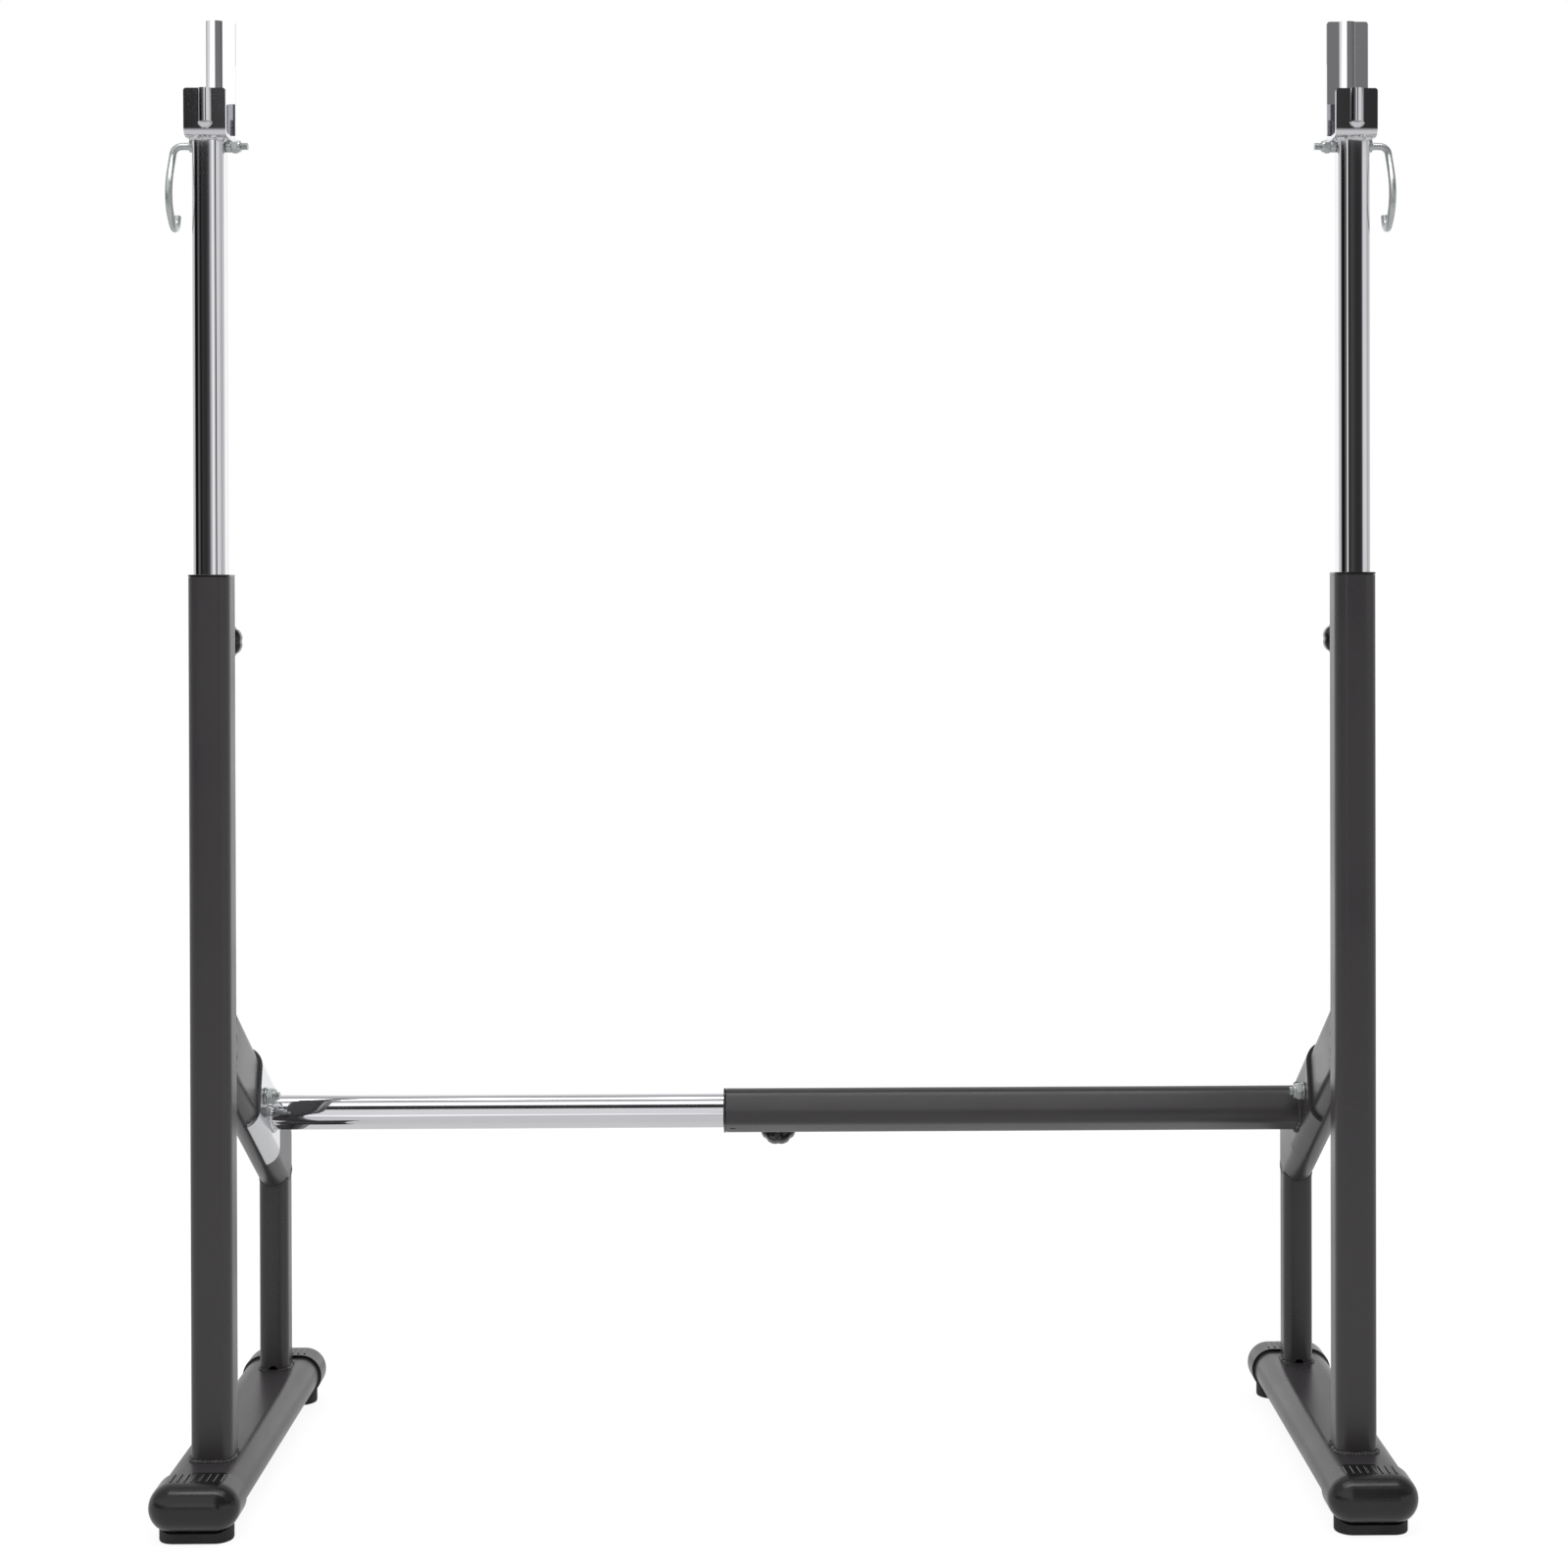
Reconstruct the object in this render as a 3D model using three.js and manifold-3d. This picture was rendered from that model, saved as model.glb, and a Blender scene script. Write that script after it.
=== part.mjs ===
// A squat stand: two mirror-image stands joined by a telescoping crossbar, in millimetres.
// X runs from the left stand to the right one, Y from the front to the rear, and Z up.
// The origin is on the floor, midway between the stands and between the ends of their feet.

import * as THREE from "three";
import { mergeVertices } from "three/addons/utils/BufferGeometryUtils.js";
import Module from "manifold-3d";

// Clearance and fineness
const gap = 0.3; // between pieces that touch
const overrun = 3; // how far a cutter passes the face that it cuts
const weldDistance = 0.001; // vertices closer than this are one vertex
const cornerSteps = 2; // a quarter turn of a section gets twice as many facets
const roundSteps = 16; // facets round a pin or boss
const holeSteps = 10; // facets round an adjusting hole
const edgeSteps = 1; // facets across a rounded edge
const helixSteps = 6; // facets in one turn of a spring
const wireSides = 4; // facets round a spring's wire
const hexSides = 6;

// Whole object
const standSpacing = 1236; // between the centres of the two uprights
const footReach = 500; // over both end caps of a foot
const uprightSetback = 110; // from the foot's front end to the upright's centre
const legSetback = 82; // from the foot's rear end to the rear leg's centre

// Foot: a flat-oval tube with slip-over end caps on rubber pads
const footWidth = 90;
const footHeight = 45;
const footWall = 2;
const capWall = 3; // from the tube's face to the cap's face
const capLength = 50;
const capDome = 14; // depth of the rounded end
const capRound = 14; // how far the rounded end draws in
const capDomeSteps = 2;
const capRibCount = 8;
const capRibWidth = 2.6;
const capRibHeight = 0.9;
const capRibLength = 22;
const capRibSpread = 52; // between the outer ribs' centres
const padWidth = 78;
const padLength = 35;
const padHeight = 11; // under the middle of the cap
const padSaddle = 7; // how much higher the pad's sides reach round the cap
const padRound = 1.5;
const padSetback = 31; // from the foot's end to the pad's centre
const padBossDiameter = 16;

// Upright: a painted outer tube with a plated inner tube, the mast
const uprightSize = 45;
const uprightCorner = 12;
const uprightWall = 2;
const uprightLength = 950;
const mastSize = 35;
const mastCorner = 9;
const mastWall = 1.5;
const mastLength = 900;
const mastShow = 472; // how much of the mast stands out of the upright
const bushDepth = 42;
const bushFlange = 2.5;
const plugGlide = 12;
const plugSpigot = 30;
const windowWidth = 9; // slot that the crossbar's bush snaps into
const windowHeight = 2.4;
const windowSetback = 14;

// Rear leg and brace
const legSize = 35;
const legCorner = 9;
const legWall = 2;
const ventWidth = 10.5; // half-round vent at the foot of the leg
const braceHeight = 80;
const braceWidth = 35;
const braceWall = 2;
const braceAngle = THREE.MathUtils.degToRad(33.5);
const braceLow = 280; // height of the underside of the brace's rounded rear end
const braceEndRound = 40;
const legTopShare = 0.7; // how far up the rounded end the leg reaches

// Crossbar: a painted outer tube and a plated inner tube, held by saddle brackets
const crossbarSetback = 198; // behind the uprights' centres
const crossbarHeight = 389;
const crossbarMouth = -70; // where the painted tube opens
const crossbarTip = 80; // where the plated tube ends inside it
const bracketPlate = 3.7;
const bracketFront = 136; // behind the uprights' centres
const bracketRear = 233;
const bracketRound = 28;
const boltOffset = 50; // from the crossbar's axis up the slope
const boltDiameter = 10;
const boltAcrossFlats = 17;
const boltHead = 6.4;
const boltTail = 4; // thread left beyond the nut
const washerDiameter = 20;
const washerThickness = 2;
const nutHex = 7;
const nutCollar = 3;

// Locks: a spring pin with a knob, in a threaded barrel
const lockDrop = 70; // below the upright's top
const crossbarLock = -10; // along X
const holePitch = 50;
const mastHolesAbove = 9;
const mastHolesBelow = 3;
const crossbarHolesLeft = 5;
const crossbarHolesRight = 1;
const pinDiameter = 10;
const pinProud = 3; // how far the nose passes the mast's wall
const pinChamfer = 1;
const pinShoulder = 14;
const pinShoulderThickness = 3;
const pinShaft = 8;
const barrelDiameter = 20;
const barrelLength = 24;
const barrelEnd = 2.5;
const knobDiameter = 43;
const knobStart = 12; // from the tube's face to the knob's near face
const knobThickness = 24;
const knobLobes = 8;
const knobLobeDepth = 1.6;
const knobLobeSteps = 4;
const knobRound = 3;
const knobGrip = 8; // how deep the pin's end sits in the knob
const springWire = 1.1;
const springTurns = 6;

// Cradle: a bent plate that holds the bar
const cradleWidth = 45;
const cradleDepth = 49;
const cradlePlate = 4;
const cradleBend = 9;
const cradleFront = 51; // height of the front plate
const cradleBack = 133;
const cradleCorner = 3;
const beadWidth = 14;
const beadDepth = 3;
const beadRise = 13; // from the cradle's underside to the bead's lower end
const beadSteps = 3;

// Hook: a bent rod that swings up over the bar
const hookDiameter = 8;
const hookDrop = 7; // from the mast's top to the hook's pivot
const hookArm = 40; // from the mast's centre out to the hanging arm
const hookBend = 10;
const hookTail = 41; // from the mast's centre to the thread's end
const hookDepth = 87.6;
const hookBow = 18;
const hookShares = [
  [-0.45, 0.27],
  [-0.88, 0.45],
  [-1, 0.62],
  [-0.83, 0.78],
  [-0.33, 0.92],
  [0.3, 1],
  [0.85, 0.955],
  [1.1, 0.83],
]; // y as a share of the bow, depth as a share of the hook's depth
const hookSteps = 30;
const hookSides = 8;
const collarDiameter = 13;
const collarThickness = 4;
const spacerThickness = 6.2;
const hookNutAcrossFlats = 13;
const hookNutHex = 6;
const hookNutCollar = 3;

// Places that follow from the sizes above
const uprightY = uprightSetback - footReach / 2;
const footFront = -uprightSetback;
const footRear = footReach - uprightSetback;
const legY = footRear - legSetback;
const capWidth = footWidth + 2 * capWall;
const capHeight = footHeight + 2 * capWall;
const footAxis = padHeight + gap + capHeight / 2;
const footTop = footAxis + footHeight / 2;
const uprightBase = footTop + gap;
const uprightTop = uprightBase + uprightLength;
const mastTop = uprightTop + mastShow;
const mastBase = mastTop - mastLength;
const cradleBase = mastTop + gap;
const hookHeight = mastTop - hookDrop;
const lockHeight = uprightTop - lockDrop;
const legRear = legY + legSize / 2;
const legTop = braceLow + braceEndRound * legTopShare;
const bracketFace = braceWidth / 2 + gap + bracketPlate;
const crossbarEnd = standSpacing / 2 - bracketFace - gap;
const slideRoom = (uprightSize - mastSize) / 2 - uprightWall;

const painted = new THREE.MeshStandardMaterial({ color: 0x474446, roughness: 0.55, metalness: 0.2 });
const plated = new THREE.MeshStandardMaterial({ color: 0xd8d9dc, roughness: 0.08, metalness: 1 });
const zinc = new THREE.MeshStandardMaterial({ color: 0xb9bdbf, roughness: 0.35, metalness: 0.9 });
const blackPlastic = new THREE.MeshStandardMaterial({ color: 0x161516, roughness: 0.3 });
const greyPlastic = new THREE.MeshStandardMaterial({ color: 0x343234, roughness: 0.5 });
const rubber = new THREE.MeshStandardMaterial({ color: 0x1b1a1b, roughness: 0.85 });

const wasm = await Module();
wasm.setup();

// A closed mesh as a solid that can be joined and cut.
function solid(geometry) {
  const bare = geometry.clone();
  bare.deleteAttribute("normal");
  bare.deleteAttribute("uv");
  const merged = mergeVertices(bare, weldDistance);
  const corners = merged.index.array;
  const kept = [];
  for (let i = 0; i < corners.length; i += 3) {
    const [a, b, c] = corners.slice(i, i + 3);
    if (a !== b && b !== c && c !== a) kept.push(a, b, c);
  }
  const vertProperties = merged.attributes.position.array;
  return new wasm.Manifold(new wasm.Mesh({ numProp: 3, vertProperties, triVerts: new Uint32Array(kept) }));
}

// The surface of a solid, ready to draw.
function surface(made) {
  const { vertProperties, triVerts } = made.getMesh();
  const shared = new THREE.BufferGeometry();
  shared.setAttribute("position", new THREE.BufferAttribute(vertProperties, 3));
  shared.setIndex(new THREE.BufferAttribute(triVerts, 1));
  const flat = shared.toNonIndexed();
  flat.computeVertexNormals();
  return flat;
}

function cut(body, ...tools) {
  return surface(tools.reduce((left, tool) => left.subtract(solid(tool)), solid(body)));
}

function join(body, ...others) {
  return surface(others.reduce((sum, other) => sum.add(solid(other)), solid(body)));
}

function common(body, ...others) {
  return surface(others.reduce((kept, other) => kept.intersect(solid(other)), solid(body)));
}

// A rectangle with rounded corners, centred on the origin. Half the height as corner gives a flat oval.
function rounded(width, height, corner = Math.min(width, height) / 2) {
  const x = width / 2 - corner;
  const y = height / 2 - corner;
  const quarter = Math.PI / 2;
  const shape = new THREE.Shape();
  shape.absarc(x, -y, corner, -quarter, 0);
  shape.absarc(x, y, corner, 0, quarter);
  shape.absarc(-x, y, corner, quarter, 2 * quarter);
  shape.absarc(-x, -y, corner, 2 * quarter, 3 * quarter);
  shape.closePath();
  return shape;
}

// A straight bar of one section, from start to end along an axis. Sections keep Z, or Y along Z, upwards.
function bar(section, start, end, axis, bevel = { bevelEnabled: false }) {
  const options = { depth: end - start, curveSegments: cornerSteps, ...bevel };
  const made = new THREE.ExtrudeGeometry(section, options);
  if (axis === "x") return made.translate(0, 0, start).rotateX(Math.PI / 2).rotateZ(Math.PI / 2);
  if (axis === "y") return made.translate(0, 0, -end).rotateX(Math.PI / 2);
  return made.translate(0, 0, start);
}

// A hollow bar, open at both ends.
function tube(outer, inner, start, end, axis) {
  return cut(bar(outer, start, end, axis), bar(inner, start - overrun, end + overrun, axis));
}

// A round bar from start to end along an axis.
function rod(diameter, start, end, axis, sides = roundSteps) {
  const made = new THREE.CylinderGeometry(diameter / 2, diameter / 2, end - start, sides);
  made.translate(0, (start + end) / 2, 0);
  if (axis === "x") made.rotateZ(-Math.PI / 2);
  if (axis === "z") made.rotateX(Math.PI / 2);
  return made;
}

function ring(outer, inner, start, end, axis) {
  return cut(rod(outer, start, end, axis), rod(inner, start - overrun, end + overrun, axis));
}

// A block between two corners.
function block(low, high) {
  const size = high.map((value, i) => value - low[i]);
  const middle = high.map((value, i) => (value + low[i]) / 2);
  return new THREE.BoxGeometry(...size).translate(...middle);
}

// A body turned about Y from a profile of radius and height.
function turned(profile) {
  const points = profile.map(([radius, y]) => new THREE.Vector2(radius, y));
  return new THREE.LatheGeometry(points, roundSteps);
}

// A hexagonal prism along X.
function hexagon(acrossFlats, start, end) {
  return rod((2 * acrossFlats) / Math.sqrt(3), start, end, "x", hexSides);
}

// A lock nut with a round collar, along X, from its seat at start.
function nut(acrossFlats, hexLength, collarLength, bore, start) {
  const end = start + hexLength + collarLength;
  const collar = rod(acrossFlats - 2 * gap, start + gap, end, "x");
  const body = join(hexagon(acrossFlats, start, start + hexLength), collar);
  return cut(body, rod(bore, start - overrun, end + overrun, "x"));
}

// A regular outline with as many corners as sides.
function polygon(diameter, sides) {
  const points = [];
  for (let i = 0; i < sides; i++) {
    const angle = (2 * Math.PI * i) / sides;
    points.push(new THREE.Vector2(Math.cos(angle), Math.sin(angle)).multiplyScalar(diameter / 2));
  }
  return new THREE.Shape(points);
}

function piece(name, geometry, material) {
  const mesh = new THREE.Mesh(geometry, material);
  mesh.name = name;
  return mesh;
}

function place(object, x, y, z) {
  object.position.set(x, y, z);
  return object;
}

// Sections of the tubes, drawn in or out by an offset.
const footSection = (offset) => rounded(footWidth + 2 * offset, footHeight + 2 * offset);
const capSection = (offset) => rounded(capWidth + 2 * offset, capHeight + 2 * offset);
const uprightSection = (offset) =>
  rounded(uprightSize + 2 * offset, uprightSize + 2 * offset, uprightCorner + offset);
const mastSection = (offset) => rounded(mastSize + 2 * offset, mastSize + 2 * offset, mastCorner + offset);
const legSection = (offset) => rounded(legSize + 2 * offset, legSize + 2 * offset, legCorner + offset);
const braceSection = (offset) => rounded(braceWidth + 2 * offset, braceHeight + 2 * offset);

// The end cap, with its rounded end at the origin and its mouth towards +Y.
function endCap() {
  const drawnIn = rounded(capWidth - 2 * capRound, capHeight - 2 * capRound);
  const bevel = { bevelThickness: capDome, bevelSize: capRound, bevelSegments: capDomeSteps };
  const body = bar(drawnIn, capDome, capLength + overrun, "y", bevel);
  const pastMouth = capLength + capDome + 2 * overrun;
  const across = capWidth / 2 + overrun;
  const beyondMouth = block([-across, capLength, -across], [across, pastMouth, across]);
  const pocket = bar(footSection(gap), capDome, capLength + overrun, "y");
  const bossHole = rod(padBossDiameter + 2 * gap, -capHeight / 2 - overrun, 0, "z");
  bossHole.translate(0, padSetback, 0);
  const middle = (capDome + capLength) / 2;
  const ribs = [];
  for (let i = 0; i < capRibCount; i++) {
    const x = capRibSpread * (i / (capRibCount - 1) - 1 / 2);
    const aside = Math.max(0, Math.abs(x) - (capWidth - capHeight) / 2);
    const top = Math.sqrt((capHeight / 2) ** 2 - aside ** 2);
    const low = [x - capRibWidth / 2, middle - capRibLength / 2, top - capWall / 2];
    const high = [x + capRibWidth / 2, middle + capRibLength / 2, top + capRibHeight];
    ribs.push(block(low, high));
  }
  return cut(join(body, ...ribs), beyondMouth, pocket, bossHole);
}

// The rubber pad, standing on the floor at the origin and hugging the underside of the cap.
function pad() {
  const outline = rounded(padWidth - 2 * padRound, padLength - 2 * padRound);
  const bevel = { bevelThickness: padRound, bevelSize: padRound, bevelSegments: edgeSteps };
  const top = padHeight + padSaddle;
  const body = bar(outline, padRound, top - padRound, "z", bevel);
  const capRoom = bar(capSection(gap), -padLength, padLength, "y").translate(0, 0, footAxis);
  const boss = rod(padBossDiameter, padRound, padHeight + capWall, "z");
  return join(cut(body, capRoom), boss);
}

// Everything inside the brace's outline as seen from the side, in the stand's frame.
function sideOutline(front, rear, low, round, reach) {
  const shape = new THREE.Shape();
  const high = low + braceHeight + reach;
  shape.absarc(rear - round, low + round, round, -Math.PI / 2, 0);
  shape.lineTo(rear, high);
  shape.lineTo(front, high);
  shape.lineTo(front, low);
  shape.closePath();
  return bar(shape, -braceHeight, braceHeight, "x");
}

// The crossbar's frame: its Y runs down the brace and its Z stands square to the brace.
function intoCrossbarFrame(geometry) {
  return geometry.translate(0, -crossbarSetback, -crossbarHeight).rotateX(braceAngle);
}

function intoStandFrame(geometry) {
  return geometry.rotateX(-braceAngle).translate(0, crossbarSetback, crossbarHeight);
}

// The brace's outer form drawn in or out by an offset, in the crossbar's frame.
function braceForm(offset, front) {
  const long = footReach;
  const sloped = bar(braceSection(offset), -long, long, "y");
  const round = braceEndRound + offset;
  const rear = legRear + offset;
  const side = intoCrossbarFrame(sideOutline(front, rear, braceLow - offset, round, footReach));
  const half = legSize / 2 + offset;
  const plan = new THREE.Shape();
  plan.absarc(half - legCorner, rear - legCorner, legCorner, 0, Math.PI / 2);
  plan.absarc(legCorner - half, rear - legCorner, legCorner, Math.PI / 2, Math.PI);
  plan.lineTo(-half, front);
  plan.lineTo(half, front);
  plan.closePath();
  const upright = intoCrossbarFrame(bar(plan, 0, uprightTop, "z"));
  return common(sloped, side, upright);
}

function brace() {
  const front = uprightSize / 2 + gap;
  const hollow = braceForm(-braceWall, front - overrun);
  const reach = braceWidth / 2 + overrun;
  const bolt = rod(boltDiameter + 2 * gap, -reach, reach, "x").translate(0, -boltOffset, 0);
  return cut(braceForm(0, front), hollow, bolt);
}

function rearLeg() {
  const body = tube(legSection(0), legSection(-legWall), uprightBase, legTop, "z").translate(0, legY, 0);
  const vent = rod(ventWidth, legY - legSize / 2 - overrun, legY, "y").translate(0, 0, uprightBase);
  return cut(body, intoStandFrame(braceForm(gap, 0)), vent);
}

// The saddle bracket hugs the inner half of the brace. Inner is -X here.
function bracket() {
  const long = footReach;
  const shell = tube(braceSection(gap + bracketPlate), braceSection(gap), -long, long, "y");
  const low = crossbarHeight - (bracketRear - crossbarSetback) * Math.tan(braceAngle)
    - braceHeight / 2 / Math.cos(braceAngle);
  const side = intoCrossbarFrame(sideOutline(bracketFront, bracketRear, low, bracketRound, footReach));
  const reach = braceWidth + bracketPlate;
  const inner = block([-reach, -long, -long], [0, long, long]);
  const bolt = rod(boltDiameter + 2 * gap, -reach, 0, "x").translate(0, -boltOffset, 0);
  return cut(common(shell, side, inner), bolt);
}

// The upright and its mast, locked by a pin at the rear.
function uprightTube() {
  const body = tube(uprightSection(0), uprightSection(-uprightWall), uprightBase, uprightTop, "z");
  const hole = rod(pinDiameter + 2 * gap, 0, uprightSize, "y").translate(0, 0, lockHeight);
  return cut(body, hole);
}

// The room that one adjusting hole takes up in the rear wall of an inner tube.
function adjustingHole() {
  return rod(pinDiameter + 2 * gap, 0, mastSize, "y", holeSteps);
}

// The places of the adjusting holes along a tube: the one that the pin is in, and those on each side.
function holePlaces(inUse, before, after) {
  const places = [];
  for (let i = -before; i <= after; i++) places.push(inUse + i * holePitch);
  return places;
}

function mastTube() {
  const body = tube(mastSection(0), mastSection(-mastWall), 0, mastLength, "z");
  const places = holePlaces(lockHeight - mastBase, mastHolesBelow, mastHolesAbove);
  const pivot = rod(hookDiameter + 2 * gap, -mastSize, mastSize, "x").translate(0, 0, mastLength - hookDrop);
  return cut(body, pivot, ...places.map((z) => adjustingHole().translate(0, 0, z)));
}

// The bush in the mouth of an outer tube, whose end face is at the origin.
function bush() {
  const flange = bar(uprightSection(0), gap, gap + bushFlange, "z");
  const sleeve = bar(uprightSection(-uprightWall - gap), -bushDepth, gap + bushFlange, "z");
  const bore = bar(mastSection(gap), -bushDepth - overrun, bushFlange + overrun, "z");
  return cut(join(flange, sleeve), bore);
}

// The plug on the inner end of an inner tube, whose end face is at the origin.
function plug() {
  const glide = bar(uprightSection(-uprightWall - gap), -gap - plugGlide, -gap, "z");
  const spigot = bar(mastSection(-mastWall - gap), -gap - plugGlide, plugSpigot, "z");
  return join(glide, spigot);
}

// The lock's pieces stand on an outer tube's face at the origin and point along +Y.
function barrel() {
  const outer = barrelDiameter / 2;
  const bore = pinShoulder / 2 + gap;
  const shaft = pinShaft / 2 + gap;
  return turned([
    [bore, gap],
    [outer, gap],
    [outer, barrelLength],
    [shaft, barrelLength],
    [shaft, barrelLength - barrelEnd],
    [bore, barrelLength - barrelEnd],
    [bore, gap],
  ]);
}

function lockPin() {
  const nose = -(uprightWall + slideRoom + mastWall + pinProud);
  const radius = pinDiameter / 2;
  const shoulderEnd = gap + pinShoulderThickness;
  const shaftEnd = knobStart + knobThickness - knobGrip;
  return turned([
    [0, nose],
    [radius - pinChamfer, nose],
    [radius, nose + pinChamfer],
    [radius, gap],
    [pinShoulder / 2, gap],
    [pinShoulder / 2, shoulderEnd],
    [pinShaft / 2, shoulderEnd],
    [pinShaft / 2, shaftEnd],
    [0, shaftEnd],
  ]);
}

// A helix about Y.
class Helix extends THREE.Curve {
  constructor(radius, start, end, turns) {
    super();
    this.radius = radius;
    this.start = start;
    this.end = end;
    this.turns = turns;
  }
  getPoint(share, target = new THREE.Vector3()) {
    const angle = 2 * Math.PI * this.turns * share;
    const y = this.start + (this.end - this.start) * share;
    return target.set(this.radius * Math.cos(angle), y, this.radius * Math.sin(angle));
  }
}

function lockSpring() {
  const room = springWire / 2 + gap;
  const start = gap + pinShoulderThickness + room;
  const end = barrelLength - barrelEnd - room;
  const radius = (pinShoulder + pinShaft) / 4;
  const path = new Helix(radius, start, end, springTurns);
  const options = { extrudePath: path, steps: springTurns * helixSteps };
  return new THREE.ExtrudeGeometry(polygon(springWire, wireSides), options);
}

function knob() {
  const outline = [];
  const count = knobLobes * knobLobeSteps;
  for (let i = 0; i < count; i++) {
    const angle = (2 * Math.PI * i) / count;
    const dip = (1 - Math.cos(knobLobes * angle)) / 2;
    const radius = knobDiameter / 2 - knobRound - knobLobeDepth * dip;
    outline.push(new THREE.Vector2(radius * Math.cos(angle), radius * Math.sin(angle)));
  }
  const bevel = { bevelThickness: knobRound, bevelSize: knobRound, bevelSegments: edgeSteps };
  const end = knobStart + knobThickness;
  const body = bar(new THREE.Shape(outline), knobStart + knobRound, end - knobRound, "y", bevel);
  const pocket = rod(barrelDiameter + 2 * gap, knobStart - overrun, barrelLength + gap, "y");
  const socket = rod(pinShaft + 2 * gap, 0, end - knobGrip + gap, "y");
  return cut(body, pocket, socket);
}

function lock(prefix) {
  const group = new THREE.Group();
  group.add(piece(prefix + "lock_barrel", barrel(), painted));
  group.add(piece(prefix + "lock_pin", lockPin(), zinc));
  group.add(piece(prefix + "lock_spring", lockSpring(), zinc));
  group.add(piece(prefix + "lock_knob", knob(), blackPlastic));
  return group;
}

// The cradle stands on the mast's top, with its underside at the origin.
function cradle() {
  const half = cradleDepth / 2;
  const inside = half - cradlePlate;
  const innerBend = cradleBend - cradlePlate;
  const quarter = Math.PI / 2;
  const rise = 2 * cradleBend;
  const bend = new THREE.Shape();
  bend.absarc(cradleBend - half, cradleBend, cradleBend, 2 * quarter, 3 * quarter);
  bend.absarc(half - cradleBend, cradleBend, cradleBend, -quarter, 0);
  bend.lineTo(half, rise);
  bend.lineTo(inside, rise);
  bend.absarc(half - cradleBend, cradleBend, innerBend, 0, -quarter, true);
  bend.absarc(cradleBend - half, cradleBend, innerBend, -quarter, -2 * quarter, true);
  bend.lineTo(-inside, rise);
  bend.lineTo(-half, rise);
  bend.closePath();
  const floor = bar(bend, -cradleWidth / 2, cradleWidth / 2, "x");
  const front = cradlePlateForm(cradleFront).translate(0, -half, 0);
  const back = cradlePlateForm(cradleBack).translate(0, inside, 0);
  const frontBead = beadForm(cradleFront).translate(0, -half, 0);
  const backBead = beadForm(cradleBack).translate(0, inside, 0);
  const frontHollow = beadForm(cradleFront + overrun).translate(0, -inside, 0);
  const backHollow = beadForm(cradleBack + overrun).translate(0, half, 0);
  return cut(join(floor, front, back, frontBead, backBead), frontHollow, backHollow);
}

// An upright plate with rounded upper corners, from the top of the bend up, its front face at y = 0.
function cradlePlateForm(height) {
  const side = cradleWidth / 2;
  const outline = new THREE.Shape();
  outline.moveTo(-side, cradleBend);
  outline.lineTo(side, cradleBend);
  outline.absarc(side - cradleCorner, height - cradleCorner, cradleCorner, 0, Math.PI / 2);
  outline.absarc(cradleCorner - side, height - cradleCorner, cradleCorner, Math.PI / 2, Math.PI);
  outline.closePath();
  return bar(outline, 0, cradlePlate, "y");
}

// An upright rib with a round lower end, cut off at a height, its middle at y = 0.
function beadForm(height) {
  const radius = beadWidth / 2;
  const length = height - beadRise;
  const capsule = new THREE.CapsuleGeometry(radius, length, beadSteps, 4 * beadSteps);
  capsule.rotateX(Math.PI / 2);
  capsule.scale(1, beadDepth / radius, 1);
  capsule.translate(0, 0, beadRise + radius + length / 2);
  const keep = block([-beadWidth, -beadWidth, 0], [beadWidth, beadWidth, height]);
  return common(capsule, keep);
}

// The hook's pivot is at the origin, its arm on the outer side, which is +X here.
function hookRod() {
  const bendStart = new THREE.Vector3(hookArm - hookBend, 0, 0);
  const bendEnd = new THREE.Vector3(hookArm, 0, -hookBend);
  const points = hookShares.map(([bow, depth]) => new THREE.Vector3(hookArm, bow * hookBow, -depth * hookDepth));
  const path = new THREE.CurvePath();
  path.add(new THREE.LineCurve3(new THREE.Vector3(-hookTail, 0, 0), bendStart));
  path.add(new THREE.QuadraticBezierCurve3(bendStart, new THREE.Vector3(hookArm, 0, 0), bendEnd));
  path.add(new THREE.CatmullRomCurve3([bendEnd, ...points], false, "centripetal"));
  return new THREE.ExtrudeGeometry(polygon(hookDiameter, hookSides), { extrudePath: path, steps: hookSteps });
}

function hook(name) {
  const face = mastSize / 2 + gap;
  const bore = hookDiameter + 2 * gap;
  const nutSeat = face + spacerThickness + gap;
  const nutBody = nut(hookNutAcrossFlats, hookNutHex, hookNutCollar, bore, nutSeat).rotateZ(Math.PI);
  const group = new THREE.Group();
  group.add(piece(name("hook"), hookRod(), zinc));
  group.add(piece(name("hook_collar"), ring(collarDiameter, bore, face, face + collarThickness, "x"), zinc));
  group.add(piece(name("hook_spacer"), ring(collarDiameter, bore, -face - spacerThickness, -face, "x"), zinc));
  group.add(piece(name("hook_nut"), nutBody, zinc));
  return group;
}

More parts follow.
